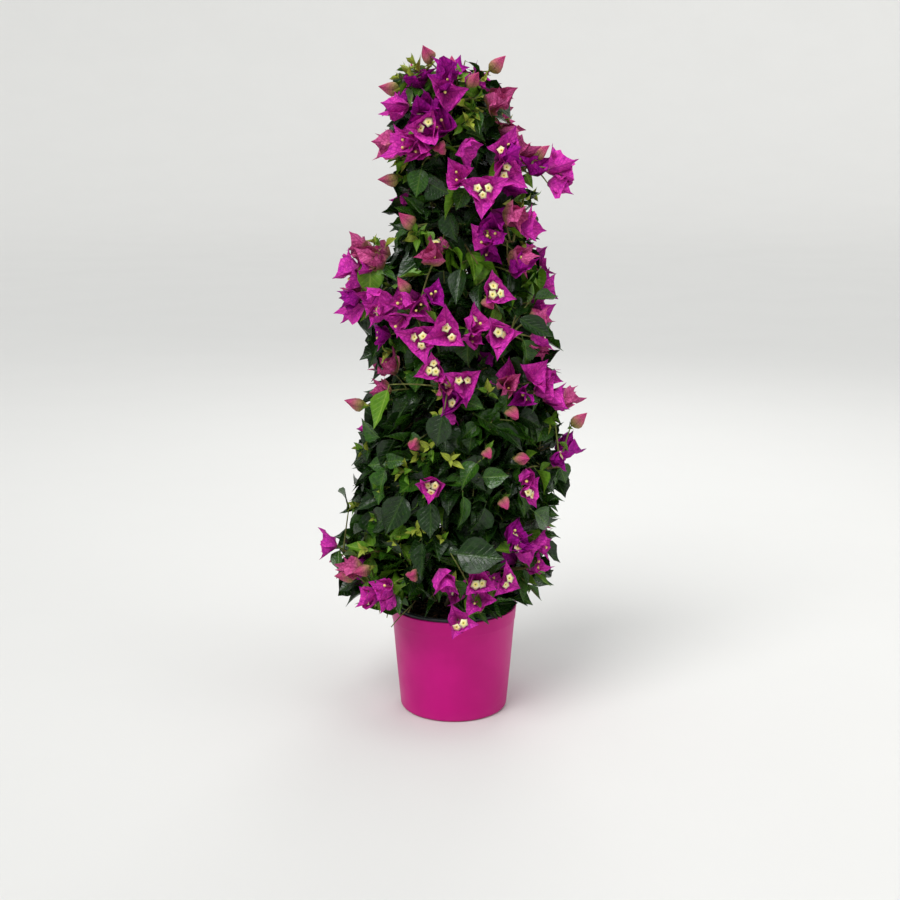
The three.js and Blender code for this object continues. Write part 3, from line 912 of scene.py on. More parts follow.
CROWN_ROWS = (
    (96, -6, 108), (132, -8, 126), (160, -12, 140), (210, -18, 146), (300, 0, 138), (360, 10, 140),
    (430, 18, 128), (500, 8, 118), (570, -4, 122), (630, 8, 98), (690, 16, 88), (750, -10, 84),
    (810, -10, 76), (868, -2, 44),
)
CROWN = tuple(CrownRow(*row) for row in CROWN_ROWS)
CROWN_DEPTH = 0.88

TIERS = (
    Tier("foot", 150, 262, 4, 225),
    Tier("low", 262, 375, 4, 270),
    Tier("middle", 375, 485, 3, 240),
    Tier("waist", 485, 595, 3, 300),
    Tier("high", 595, 700, 2, 250),
    Tier("top", 700, 868, 1, 290),
)

SPRAY_ROWS = (
    ("crown", 802, 264, 42, 44, BractTint.BRIGHT), ("crown_left", 740, 232, 68, 48, BractTint.DEEP),
    ("arm", 726, 337, 98, 52, BractTint.BRIGHT), ("brow", 690, 300, 82, 42, BractTint.DEEP),
    ("shoulder", 636, 322, 96, 50, BractTint.DEEP), ("left", 590, 207, 116, 56, BractTint.DUSKY),
    ("band_left", 546, 246, 98, 54, BractTint.BRIGHT), ("band_right", 522, 314, 106, 50, BractTint.DEEP),
    ("waist", 460, 268, 100, 44, BractTint.BRIGHT), ("right", 446, 338, 122, 54, BractTint.BRIGHT),
    ("low_right", 344, 346, 130, 46, BractTint.DEEP), ("rim_right", 220, 322, 116, 48, BractTint.DEEP),
    ("rim_front", 170, 287, 108, 44, BractTint.BRIGHT), ("rim_left", 178, 218, 124, 46, BractTint.DUSKY),
    ("left_tip", 228, 192, 152, 34, BractTint.BRIGHT), ("back_top", 768, 78, 54, 46, BractTint.DEEP),
    ("back_right", 600, 40, 94, 50, BractTint.BRIGHT), ("back_left", 484, 128, 98, 52, BractTint.DEEP),
    ("back_low", 318, 88, 112, 50, BractTint.DUSKY),
)
SPRAYS = tuple(Spray(*row) for row in SPRAY_ROWS)

SPRIG_ROWS = (
    (LANTERN, -29, -39, 851, 0, 1), (LIME, -58, -21, 842, -1, 0.5), (DEEP, -13, -53, 832, 0, 0.8),
    (BRIGHT, -11, -61, 816, -0.2, 0.3), (DEEP, -6, -60, 817, -0.2, 0.4), (LANTERN, -67, -29, 820, -1, 0.1),
    (LIME, -48, -25, 849, -0.3, 0.9), (LIME, -67, -28, 833, -1, 0.3), (LIME, 17, -63, 781, 0.3, 0.2),
    (LIME, 28, -54, 808, 0.3, 0.6), (LIME, -68, -42, 733, -0.7, -0.2), (BRIGHT, -55, -51, 799, -0.7, 0.3),
    (DEEP, -19, -65, 794, 0, 0.1), (DEEP, -38, -62, 778, -0.3, 0.1), (DUSKY, -62, -48, 755, -0.8, 0),
    (BRIGHT, -47, -61, 756, -0.5, -0.2), (BRIGHT, -30, -68, 749, -0.2, -0.4), (STARRY, -32, -70, 772, 0.1, 0),
    (LANTERN, -16, -70, 751, 0, -0.2), (BRIGHT, 7, -68, 752, 0.2, -0.7), (LANTERN, 17, -54, 822, 0.2, 0.8),
    (LANTERN, 44, -23, 841, 0.3, 1), (LIME, 35, -39, 831, 0.3, 0.6), (DUSKY, 46, -40, 806, 0.1, 0.8),
    (DUSKY, 43, -46, 796, 0.2, 0.4), (DEEP, -10, -68, 768, -0.3, 0), (LIME, 24, -58, 792, 0.2, 0),
    (BRIGHT, 60, -46, 737, 0.1, 0), (DEEP, 50, -54, 732, 0, 0.1), (DUSKY, 72, -21, 737, 0.3, 0.5),
    (STARRY, 60, -54, 717, -0.3, 0.05), (LANTERN, 99, -37, 737, 0.3, 0.8), (BRIGHT, 114, -38, 720, 0.35, 0.1),
    (BRIGHT, 130, -38, 718, 0.6, 0.2), (BRIGHT, 116, -38, 706, 0.4, -0.2), (DEEP, 94, -38, 717, 0.2, 0.1),
    (BRIGHT, 9, -72, 710, -0.3, 0), (STARRY, 33, -74, 698, -0.05, 0), (LANTERN, -68, -30, 711, -1, -0.2),
    (LIME, 86, -41, 685, 0.6, 0), (LANTERN, -51, -57, 653, -0.1, 0.8), (DUSKY, 60, -64, 670, 0.2, 0.2),
    (BRIGHT, 76, -54, 655, 0.5, -0.2), (DEEP, 51, -71, 651, -0.1, 0.1), (LIME, -46, -63, 647, 0.2, 0.8),
    (DUSKY, -104, -44, 622, -0.5, 0.6), (LIME, -99, -43, 634, 0.1, 0.7), (BRIGHT, -119, -48, 601, -0.6, 0.3),
    (BRIGHT, -115, -52, 580, -0.5, 0.1), (DUSKY, -91, -46, 614, -0.3, 0.5), (DEEP, -117, -53, 566, -0.6, 0),
    (DUSKY, -90, -45, 599, 0, 0.4), (STARRY, -98, -43, 598, -0.3, 0.2), (DUSKY, -108, -43, 571, -0.2, 0.1),
    (BRIGHT, -112, -46, 552, -0.7, -0.2), (BRIGHT, -51, -93, 565, -0.2, 0.2),
    (STARRY, -82, -79, 549, -0.5, 0.1), (BRIGHT, -62, -85, 546, -0.4, -0.2), (DEEP, -27, -100, 567, 0.3, 0.3),
    (DEEP, -79, -67, 520, -0.5, -0.2), (LIME, -85, -56, 495, -0.2, -0.3), (STARRY, -37, -98, 521, 0, -0.1),
    (STARRY, -8, -105, 526, 0, 0.1), (BRIGHT, 12, -99, 521, 0.2, 0.3), (DUSKY, -27, -84, 610, 0, 0.6),
    (BRIGHT, 41, -76, 634, -0.1, 0.1), (DUSKY, 66, -69, 614, 0.3, 0), (DEEP, 69, -71, 599, 0.4, 0),
    (LIME, 90, -49, 600, 0.6, 0.2), (STARRY, 44, -97, 575, 0, 0.2), (LANTERN, 39, -95, 569, 0, -0.5),
    (STARRY, 50, -97, 525, 0, 0), (DUSKY, 91, -63, 536, 0.5, 0.5), (STARRY, 96, -68, 517, 0.5, 0.1),
    (DUSKY, 97, -60, 503, 0.6, 0), (STARRY, -20, -103, 483, -0.1, 0.1), (DUSKY, -14, -100, 462, 0, -0.4),
    (STARRY, 11, -108, 467, 0.1, 0), (DEEP, 8, -105, 441, -0.1, -0.5), (BRIGHT, 108, -59, 465, 0.4, 0.4),
    (BRIGHT, 95, -74, 463, -0.1, 0.3), (BRIGHT, 102, -73, 446, 0.1, -0.2), (BRIGHT, 113, -64, 437, 0.5, -0.1),
    (DEEP, 89, -82, 447, -0.1, -0.3), (DUSKY, 129, -44, 429, 0.9, 0.2), (DUSKY, 63, -94, 458, 0, 0.4),
    (LANTERN, 68, -98, 430, 0, -0.3), (LANTERN, 151, -42, 398, 0.3, 0.9), (LIME, 129, -47, 408, 0.6, 0.2),
    (LANTERN, -113, -57, 427, -0.9, 0.3), (DUSKY, -79, -64, 448, -0.5, 0.4),
    (LANTERN, -46, -100, 391, 0.1, -0.3), (LANTERN, 40, -111, 381, 0, -0.3),
    (LANTERN, 77, -100, 368, 0.2, 0.1), (LIME, -69, -95, 349, -0.2, 0), (LIME, -123, -35, 366, -1, 0.3),
    (STARRY, -25, -119, 340, 0, -0.12, 0), (DEEP, 123, -61, 357, 0.7, -0.3),
    (BRIGHT, 90, -92, 352, 0.3, -0.2), (STARRY, 85, -99, 325, 0.2, 0.1), (LANTERN, 62, -103, 316, -0.2, -0.4),
    (STARRY, -153, -44, 237, -0.7, 0.1), (DUSKY, -118, -84, 215, -0.6, -0.3),
    (BRIGHT, -79, -108, 200, -0.2, -0.3), (LANTERN, -106, -91, 222, -0.4, -0.3),
    (LANTERN, -128, -70, 206, -0.7, -0.2), (BRIGHT, -96, -96, 182, -0.3, -0.6),
    (BRIGHT, -76, -108, 192, -0.1, -0.6), (LANTERN, -50, -118, 222, 0, 0.1),
    (BRIGHT, -19, -120, 229, 0, -0.7), (STARRY, 26, -122, 215, 0, 0.1), (BRIGHT, 33, -113, 187, 0.1, -0.2),
    (STARRY, 5, -123, 163, 0, 0), (STARRY, 60, -108, 210, 0.1, 0), (BRIGHT, 77, -91, 246, 0.2, -0.2),
    (BRIGHT, 102, -66, 241, 0.5, 0.2), (DEEP, 73, -94, 253, 0.1, 0.2), (BRIGHT, 94, -72, 215, 0.3, -0.4),
    (DEEP, 70, -97, 258, 0, 0.6), (LIME, -78, -101, 259, -0.2, 0.1), (LIME, -49, -110, 279, 0, 0.2),
    (BRIGHT, -6, 2, 822, 0, 2.5), (DEEP, 24, 16, 816, 0.2, 2), (DUSKY, -36, 20, 812, -0.3, 2),
    (LIME, -18, -8, 834, -0.2, 2.5), (LIME, 14, -2, 836, 0.2, 2.5), (BRIGHT, -16, 36, 800, -0.1, 1.6),
    (LIME, 2, 28, 828, 0, 2.5), (DUSKY, 4, 34, 802, 0, 1.4), (LANTERN, -4, 14, 836, 0, 3),
    (DEEP, -50, -4, 806, -0.8, 1.5), (BRIGHT, -89, -66, 575, -0.5, 0.1), (BRIGHT, 16, -100, 534, 0.1, 0.2),
    (BRIGHT, -46, -93, 557, 0, 0), (BRIGHT, -73, -80, 558, -0.3, 0.1),
)
SPRIGS = tuple(Sprig(*row) for row in SPRIG_ROWS)

FACING_ROWS = (
    (FRESH, -63, -76, 462, -0.15, -0.99, 56), (DARK, 8, -86, 611, -0.1, -1, 50),
    (DARK, 67, -66, 612, -0.92, -0.4, 62), (FULL, -86, -78, 355, -0.1, -1, 56),
    (DARK, -61, -98, 326, -0.3, -0.95, 58), (FULL, 11, -114, 329, 0.05, -1, 52),
    (DARK, -39, -111, 269, 0.1, -1, 50), (DARK, -5, -116, 255, 1, -0.05, 68),
    (DARK, -30, -110, 320, 0.1, -1, 48), (DARK, 46, -104, 415, 0.83, -0.55, 60),
    (FULL, 31, -112, 347, 0.99, 0.11, 40), (FULL, -87, -77, 359, 0.97, 0.24, 36),
    (FULL, -137, -35, 289, 0.71, 0.71, 46), (FRESH, -73, -37, 743, -0.2, -0.98, 40),
    (FULL, -39, -62, 729, -0.1, -1, 40), (FULL, 38, -50, 784, -0.71, 0.71, 40),
    (DARK, -39, -58, 712, 0.94, -0.35, 50), (FULL, 99, -43, 563, 0.99, -0.11, 40),
    (DARK, 62, -82, 549, 0.81, -0.58, 50), (FULL, -91, -64, 384, -0.81, 0.58, 44),
    (DARK, -71, -96, 292, -0.94, -0.35, 56), (FULL, -55, -51, 651, -0.64, -0.77, 40),
    (DARK, -7, -71, 678, 0.2, -0.98, 46), (DARK, 50, -90, 498, 0.32, -0.95, 46),
    (FULL, -50, -75, 606, -0.35, -0.94, 42), (DARK, -7, -102, 437, -0.22, -0.98, 52),
    (FULL, 92, -78, 298, 0.76, -0.65, 48), (FULL, -61, -90, 384, 0.95, 0.32, 40),
    (DARK, -110, -69, 271, -0.76, -0.65, 56), (DARK, 41, -108, 314, -0.35, -0.94, 50),
    (FULL, 33, -112, 369, -0.83, -0.55, 44),
)
FACING_LEAVES = tuple(FacingLeaf(*row) for row in FACING_ROWS)


@dataclass(frozen=True)
class Trunk:
    """The trunk's middle line."""

    foot: float = 139.3
    tip: float = 742.0
    foot_radius: float = 8.5
    tip_radius: float = 2.4
    flare_radius: float = 6.5
    flare_height: float = 16.0
    sway: float = 8.0
    sway_length: float = 460.0

    def at(self, z: float) -> Vector:
        """Returns the trunk's middle at a height."""
        turn = (z - self.foot) / self.sway_length * math.tau
        return Vector((self.sway * math.sin(turn * 0.8), self.sway * 0.7 * (math.cos(turn) - 1), z))

    def radius(self, z: float) -> float:
        """Returns the trunk's radius at a height."""
        share = min(max((z - self.foot) / (self.tip - self.foot), 0.0), 1.0)
        flare = self.flare_radius * math.exp(-(z - self.foot) / (self.flare_height / 2))
        return between(self.foot_radius, self.tip_radius, share**0.8) + 0.8 * flare


TRUNK = Trunk()


class Crown:
    """The crown's outline, and where a point lies in it."""

    @staticmethod
    def outline(z: float) -> Pair:
        """Reads the outline at a height.

        Args:
            z: The height.

        Returns:
            The middle's shift to the right, and the half width.
        """
        rows = CROWN
        above = next((i for i, row in enumerate(rows) if row.height > z), len(rows) - 1)
        a, b = rows[max(above, 1) - 1], rows[max(above, 1)]
        share = min(max((z - a.height) / (b.height - a.height), 0.0), 1.0)
        return between(a.shift, b.shift, share), between(a.half, b.half, share)

    @classmethod
    def point(cls, bearing: float, z: float, share: float) -> Vector:
        """Gives a point of the crown.

        Args:
            bearing: Its bearing in radians.
            z: Its height.
            share: The share of the way out to the surface.

        Returns:
            The point.
        """
        shift, half = cls.outline(z)
        x = shift + share * half * math.cos(bearing)
        return Vector((x, share * half * CROWN_DEPTH * math.sin(bearing), z))

    @classmethod
    def place(cls, point: Vector) -> Pair:
        """Finds a point in the crown.

        Args:
            point: The point.

        Returns:
            Its bearing, and the share of the way out to the surface.
        """
        shift, half = cls.outline(point.z)
        x, y = (point.x - shift) / half, point.y / (half * CROWN_DEPTH)
        return math.atan2(y, x), math.hypot(x, y)


@dataclass
class Limb:
    """A tapering limb: its points, with the radius at each."""

    points: list[Vector]
    girths: list[float]


@dataclass
class Placed:
    """A shape that is set in the crown: its foot, its length's direction and its upper face's."""

    at: Vector
    along: Vector
    face: Vector
    size: float
    variant: int

    def turn(self) -> Euler:
        """Returns the turn that lays +Y along and +Z to the face."""
        side = self.along.cross(self.face).normalized()
        upper = side.cross(self.along)
        return Matrix((side, self.along, upper)).transposed().to_euler()


@dataclass
class Bloom:
    """A blossom or bud that leaves keep clear of."""

    at: Vector
    facing: Vector
    room: float


class LimbKind(Enum):
    """Each kind of limb: its radius at the foot, its radius at the tip, and its steps."""

    BOUGH = (3.6, 2.2, 22)
    SPRAY_STEM = (2.2, 1.5, 8)
    MASS_STEM = (3.2, 2.0, 10)
    TOP_STEM = (2.4, 2.0, 10)
    TWIG = (1.7, 0.9, 7)
    SIDE_TWIG = (1.0, 0.7, 4)
    LIME_TWIG = (0.9, 0.6, 3)
    SPRIG = (1.5, 0.8, 8)
    SPRAY_TWIG = (1.1, 0.8, 4)
    LEAF_TWIG = (1.3, 0.7, 6)


@dataclass
class Growth:
    """Grows the whole plant by the seeded rule, carried to finer twigs and true sizes."""

    # Reach: shares of the way out to the crown's surface, and heights.
    hub: float = 0.42
    tip_share: float = 0.76
    reach: float = 1.07
    facing_reach: float = 1.2
    side_reach: float = 0.92
    company_reach: float = 0.95
    far_reach: float = 0.93
    high_reach: float = 0.74
    high_from: float = 640.0
    far_heights: Pair = (185.0, 822.0)
    top_limit: float = 838.0
    twig_top: float = 828.0
    # The pot, and the gap in front through which the compost shows.
    pot_radius: float = 89.0
    pot_top: float = 153.0
    rim_clear: float = 158.0
    rim_band: float = 35.0
    gap_left: float = -64.0
    gap_right: float = 4.0
    gap_height: float = 184.0
    gap_slope: float = 0.36
    # Leaves.
    leaf_length: float = 64.0
    leaf_sizes: Pair = (0.6, 1.08)
    leaf_droop: Pair = (-0.55, 1.25)
    leaf_spacing: float = 12.0
    leaf_tries: int = 6
    leaf_middle: float = 0.6
    full_share: float = 0.6
    twigs: int = 12
    top_twigs: int = 18
    twig_leaves: int = 7
    inner_leaves: int = 4
    side_twigs: int = 3
    side_leaves: int = 4
    side_lengths: Pair = (26.0, 44.0)
    crest_leaves: int = 30
    crest_lengths: Pair = (34.0, 60.0)
    lime_twigs: float = 0.3
    # Blossom.
    blossoms: int = 13
    spray_buds: float = 0.84
    bract_length: float = 33.0
    top_bract_length: float = 38.0
    bract_heights: Pair = (560.0, 740.0)
    bract_sizes: Pair = (0.82, 1.14)
    floret_share: float = 0.5
    star_share: float = 0.1
    heart: float = 12.0
    own_tint: float = 0.6
    company: float = 0.26
    low_company: float = 0.05
    company_height: float = 430.0
    bud_lengths: Pair = (22.0, 29.0)
    blossom_room: float = 29.0
    bud_room: float = 24.0
    leaf_room: float = 17.0
    far_side: float = -38.0
    # The first numbers of the draws for sprigs, for those on the far side, and for single leaves.
    near_keys: int = 200
    far_keys: int = 400
    leaf_keys: int = 600
    # What has grown.
    boughs: list[Limb] = field(default_factory=list)
    stems: list[Limb] = field(default_factory=list)
    twig_limbs: list[Limb] = field(default_factory=list)
    sprig_limbs: list[Limb] = field(default_factory=list)
    leaves: dict[LeafTint, list[Placed]] = field(default_factory=lambda: defaultdict(list))
    bracts: dict[BractTint, list[Placed]] = field(default_factory=lambda: defaultdict(list))
    florets: list[Placed] = field(default_factory=list)
    lanterns: list[Placed] = field(default_factory=list)
    blooms: list[Bloom] = field(default_factory=list)
    roots: list[Vector] = field(default_factory=list)
    grid: dict[tuple[int, ...], list[Vector]] = field(default_factory=lambda: defaultdict(list))

    def run(self) -> "Growth":
        """Grows the limbs, then the blossom, then the leaves.

        Returns:
            Itself.
        """
        stems = [self.grow_bough(m, spray) for m, spray in enumerate(SPRAYS)]
        masses: list[tuple[int, Tier, float, Curve]] = []
        for tier in TIERS:
            for i in range(tier.count):
                bearing = math.radians(tier.bearing + 360 / tier.count * i)
                masses.append((len(SPRAYS) + len(masses), tier, bearing, self.grow_stem(tier, bearing)))
        self.roots = [p for limb in self.boughs for p in limb.points[6:]]
        self.roots += [p for limb in self.stems for p in limb.points[3:]]
        self.roots += [TRUNK.at(between(TRUNK.foot + 60, TRUNK.tip, i / 30)) for i in range(31)]
        for s, sprig in enumerate(SPRIGS):
            self.grow_sprig(self.near_keys + s, sprig)
        for s, sprig in enumerate(SPRIGS):
            if s % 2 == 0 and sprig.y < self.far_side:
                self.grow_sprig(self.far_keys + s, self.turned_round(s, sprig))
        for m, spray in enumerate(SPRAYS):
            self.fill_spray(m, spray, stems[m])
        for n, leaf in enumerate(FACING_LEAVES):
            self.set_leaf(self.leaf_keys + n, leaf)
        for m, tier, bearing, stem in masses:
            self.grow_mass(m, tier, bearing, stem)
        return self

    # Limbs

    @staticmethod
    def limb(where: list[Limb], curve: Curve, kind: LimbKind) -> None:
        """Adds a limb along a curve.

        Args:
            where: The list that it joins.
            curve: The curve.
            kind: The kind of limb.
        """
        foot, tip, steps = kind.value
        shares = [i / steps for i in range(steps + 1)]
        where.append(Limb([bend_at(curve, t)[0] for t in shares], [between(foot, tip, t) for t in shares]))

    @staticmethod
    def spray_middle(spray: Spray) -> Vector:
        """Returns the middle of a spray."""
        axis = TRUNK.at(min(spray.height, TRUNK.tip))
        axis.z = spray.height
        return axis + level(math.radians(spray.bearing)) * spray.reach

    def grow_bough(self, index: int, spray: Spray) -> Curve:
        """Grows a bough as the part's source does, and a stem on from its end.

        Args:
            index: The spray's number.
            spray: The spray at its end.

        Returns:
            The stem's curve.
        """
        centre = self.spray_middle(spray)
        out = level(math.radians(spray.bearing))
        lowest = TRUNK.foot + 16 + 5 * (index % 3)
        drop = 0.9 * spray.reach + 0.4 * spray.radius
        start = TRUNK.at(min(max(spray.height - drop, lowest), TRUNK.tip - 24))
        tip = centre - out * (0.55 * spray.radius)
        tip.z -= 0.2 * spray.radius
        bend = start.lerp(tip, 0.42)
        bend.z = between(start.z, tip.z, 0.62) + 0.1 * spray.reach
        bough = (start, bend, tip)
        self.limb(self.boughs, bough, LimbKind.BOUGH)
        ahead = bend_at(bough, 1.0)[1]
        stem = (tip, tip + ahead * (0.3 * spray.radius), centre + out * (0.1 * spray.radius))
        self.limb(self.stems, stem, LimbKind.SPRAY_STEM)
        return stem

    def grow_stem(self, tier: Tier, bearing: float) -> Curve:
        """Grows the stem of a leafy mass.

        Args:
            tier: Its tier.
            bearing: The middle of its stretch round the trunk.

        Returns:
            The stem's curve.
        """
        if tier.count == 1:
            foot = TRUNK.at(TRUNK.tip)
            hub = Crown.point(bearing, between(tier.low, tier.high, 0.74), 0.0)
            bend = foot.lerp(hub, 0.4)
            bend.x = foot.x
        else:
            foot = TRUNK.at(between(tier.low, tier.high, 0.2))
            hub = Crown.point(bearing, between(tier.low, tier.high, 0.55), self.hub)
            bend = foot.lerp(hub, 0.5) + UP * 6
        stem = (foot, bend, hub)
        self.limb(self.stems, stem, LimbKind.MASS_STEM if tier.count > 1 else LimbKind.TOP_STEM)
        return stem

    # Blossom

    def nearest_root(self, end: Vector) -> Vector:
        """Finds the limb that a sprig springs from.

        Args:
            end: The sprig's end.

        Returns:
            The nearest point of a limb, those below and further in coming first.
        """

        def cost(root: Vector) -> float:
            """Returns how badly a root suits the end."""
            away = (end - root).length
            return away + max(0.0, root.z - end.z) * 0.8 + (60.0 if away < 14 else 0.0)

        return min(self.roots, key=cost)

    def grow_sprig(self, m: int, sprig: Sprig) -> None:
        """Grows a flowering sprig to its place.

        Args:
            m: The number for its draws.
            sprig: The sprig.
        """
        end = Vector((sprig.x, sprig.y, sprig.z))
        root = self.nearest_root(end)
        away = end - root
        curve = (root, root + away * 0.5 + UP * (0.14 * away.length), end)
        self.limb(self.sprig_limbs, curve, LimbKind.SPRIG)
        ahead = bend_at(curve, 1.0)[1]
        out = level(Crown.place(end)[0])
        across = to_the_right(out)
        facing = out + across * sprig.lean * 0.9 + Vector((sprig.lean * 0.5, 0, sprig.lift + 0.1))
        is_loose = sprig.carried in (BRIGHT, DEEP, DUSKY)
        if is_loose:
            facing += across * drawn(-1.0, 1.0, m, 76) + UP * drawn(-0.7, 0.9, m, 77)
        facing.normalize()
        if sprig.carried is LANTERN:
            self.add_lantern(end, facing, (m, 0))
        elif sprig.carried is LIME:
            self.add_lime(end, facing, (m, 0), 7)
        else:
            tint, opening, stars = sprig.carried.value
            self.add_blossom(end, facing, tint, (m, 0), opening, stars=stars, turn=sprig.turn)
            if is_loose:
                self.add_companions(m, tint, curve, facing)
        for i in range(2):
            share = drawn(0.45, 0.8, m, i, 72)
            green = FULL if draw(m, i, 73) < self.full_share else FRESH
            at, along = bend_at(curve, share)
            size = drawn(0.5, 0.85, m, i, 75)
            self.add_leaf(at, (along + ahead).normalized(), (m, 74, i), green, size)

    def tint_for(self, own: BractTint, pick: float, other: float) -> BractTint:
        """Returns a blossom's colour: mostly its spray's own, else any."""
        return own if pick < self.own_tint else list(BractTint)[int(other * len(BractTint))]

    def add_companions(self, m: int, own: BractTint, curve: Curve, facing: Vector) -> None:
        """Adds one or two more blossoms beside the first.

        Args:
            m: The number for the draws.
            own: The first blossom's colour.
            curve: The sprig's curve.
            facing: The way that the first blossom opens.
        """
        is_full = m >= self.far_keys and curve[2].z > self.company_height
        company = self.company if is_full else self.low_company
        for i in range(2):
            if draw(m, i, 61) > company:
                continue
            tint = self.tint_for(own, draw(m, i, 67), draw(m, i, 68))
            aside = spun(facing.orthogonal().normalized(), facing, (draw(m, 62) + i / 3) * math.tau)
            end = curve[2] + aside * drawn(17, 28, m, i, 63) - facing * drawn(2, 12, m, i, 64)
            way = (facing + aside * drawn(0.5, 1.5, m, i, 65)).normalized()
            if Crown.place(end)[1] > self.company_reach or end.z > self.top_limit:
                continue
            if self.add_blossom(end, way, tint, (m, i, 66), (0.4, 1.0), 17):
                start = bend_at(curve, 0.72)[0]
                twig = (start, start.lerp(end, 0.5) - facing * 2, end)
                self.limb(self.sprig_limbs, twig, LimbKind.SIDE_TWIG)

    def turned_round(self, s: int, sprig: Sprig) -> Sprig:
        """Gives a sprig on the far side of the crown for one on the near side.

        Args:
            s: The sprig's number.
            sprig: The sprig on the near side.

        Returns:
            The sprig that answers it.
        """
        low, high = self.far_heights
        z = min(max(sprig.z + drawn(-34, 34, s, 81), low), high)
        bearing = math.atan2(-sprig.y, -sprig.x) + drawn(-0.35, 0.35, s, 82)
        share, lean = (self.high_reach, 0.3) if z > self.high_from else (self.far_reach, 1.0)
        return Sprig(sprig.carried, *Crown.point(bearing, z, share), -sprig.lean * lean, sprig.lift)

    def fill_spray(self, m: int, spray: Spray, stem: Curve) -> None:
        """Fills out a spray on the sides that its own sprigs leave open.

        Args:
            m: The spray's number.
            spray: The spray.
            stem: Its stem's curve.
        """
        centre = self.spray_middle(spray)
        out = level(math.radians(spray.bearing))
        for k in range(self.blossoms):
            z = 1 - 2 * (k + 0.5) / self.blossoms
            flat = math.sqrt(1 - z * z)
            turn = k * GOLDEN_TURN + draw(m, k, 0) * math.pi
            way = (Vector((flat * math.cos(turn), flat * math.sin(turn), z)) + out * 0.6).normalized()
            end = centre + way * (spray.radius * drawn(0.42, 0.74, m, k, 3))
            share = Crown.place(end)[1]
            if way.y < 0.25 or not self.off_pot(end) or not 0.5 < share < (0.96 if out.y < 0.2 else 1.1):
                continue
            if end.y < 0 and end.z < self.rim_clear + self.rim_band:
                continue
            facing = (way + out * 0.4).normalized()
            tint = self.tint_for(spray.tint, draw(m, k, 5), draw(m, k, 6))
            root = bend_at(stem, between(0.35, 1.0, (k * GOLDEN_PART) % 1))[0]
            if draw(m, k, 4) < self.spray_buds:
                if not self.add_blossom(end, facing, tint, (m, k), (0.55, 1.1), 27):
                    continue
            else:
                self.add_lantern(end, facing, (m, k))
            self.limb(self.sprig_limbs, (root, root.lerp(end, 0.5) + UP * 3, end), LimbKind.SPRAY_TWIG)
            for i in range(2):
                at = root.lerp(end, 0.25 + 0.3 * i)
                self.add_leaf(at, (end - root).normalized(), (m, k, i), FULL)

    def add_blossom(
        self,
        at: Vector,
        facing: Vector,
        tint: BractTint,
        keys: tuple[int, ...],
        opening: Pair,
        spacing: float = 0.0,
        stars: float = 0.0,
        turn: float | None = None,
    ) -> bool:
        """Adds three bracts with their florets, if there is room.

        Args:
            at: The blossom's foot.
            facing: The way that it opens.
            tint: The bracts' colour.
            keys: The numbers for the draws.
            opening: The least and the greatest turn of its bracts from its axis.
            spacing: How far its heart keeps from others.
            stars: The share of its florets that are open, where it has more than most.
            turn: The turn of its first bract from hanging, if it is set.

        Returns:
            True if it was added.
        """
        heart = at + facing * self.heart
        if any((heart - b.at - b.facing * self.heart).length < spacing for b in self.blooms):
            return False
        if not self.off_pot(heart - UP * 14):
            return False
        self.blooms.append(Bloom(at, facing, self.blossom_room))
        across = facing.orthogonal().normalized()
        spin = draw(*keys, 11) * math.tau
        if turn is not None:
            across, spin = (facing * facing.z - UP).normalized(), turn
        open_by = drawn(*opening, *keys, 12)
        low, high = self.bract_heights
        rise = min(max((at.z - low) / (high - low), 0.0), 1.0)
        full = between(self.bract_length, self.top_bract_length, rise)
        size = drawn(*self.bract_sizes, *keys, 13) * full
        for b in range(3):
            radial = spun(across, facing, spin + b * math.tau / 3 + 0.3 * (draw(*keys, 19, b) - 0.5))
            along, face = tipped(facing, radial, open_by + 0.34 * (draw(*keys, 14, b) - 0.5))
            variant = int(draw(*keys, 15, b) * len(BRACT_SHAPES))
            length = size * drawn(0.92, 1.08, *keys, 20, b)
            self.bracts[tint].append(Placed(at + radial * 1.2, along, face, length, variant))
            pick = draw(*keys, 16, b)
            if pick < max(self.floret_share, stars):
                lean = drawn(0.2, 0.42, *keys, 17, b) * min(1.0, open_by)
                stalk, upper = tipped(facing, radial, lean)
                full_size = drawn(0.85, 1.1, *keys, 18, b)
                is_closed = pick >= max(self.star_share, stars)
                self.florets.append(Placed(at + radial * 2.0, stalk, upper, full_size, int(is_closed)))
        return True

    def add_lantern(self, at: Vector, along: Vector, keys: tuple[int, ...]) -> None:
        """Adds a closed bud of three bracts with a few small leaves at its foot.

        Args:
            at: Its foot.
            along: The way that it points.
            keys: The numbers for the draws.
        """
        size = drawn(*self.bud_lengths, *keys, 21)
        turn = along.orthogonal().normalized()
        self.lanterns.append(Placed(at, along, turn, size, int(draw(*keys, 22) * 2)))
        self.blooms.append(Bloom(at, along, self.bud_room))
        self.add_lime(at - along * 5, along, (*keys, 23), 2)

    def add_lime(self, at: Vector, facing: Vector, keys: tuple[int, ...], count: int) -> None:
        """Adds small young leaves round a sprig's end.

        Args:
            at: The sprig's end.
            facing: The sprig's direction there.
            keys: The numbers for the draws.
            count: How many leaves.
        """
        across = facing.orthogonal().normalized()
        for i in range(count):
            radial = spun(across, facing, i * GOLDEN_TURN + 0.8 * draw(*keys, i, 91))
            along, face = tipped(facing, radial, drawn(0.25, 1.0, *keys, i, 92) + 0.12 * i)
            tint = YOUNG if draw(*keys, i, 93) < 0.6 else FRESH
            size = drawn(10.0, 16.0, *keys, i, 94) + 1.8 * i
            variant = len(LEAF_SHAPES) - 1 - int(draw(*keys, i, 95) * 2)
            self.leaves[tint].append(Placed(at - facing * (2.6 * i), along, face, size, variant))

    # Leafy masses

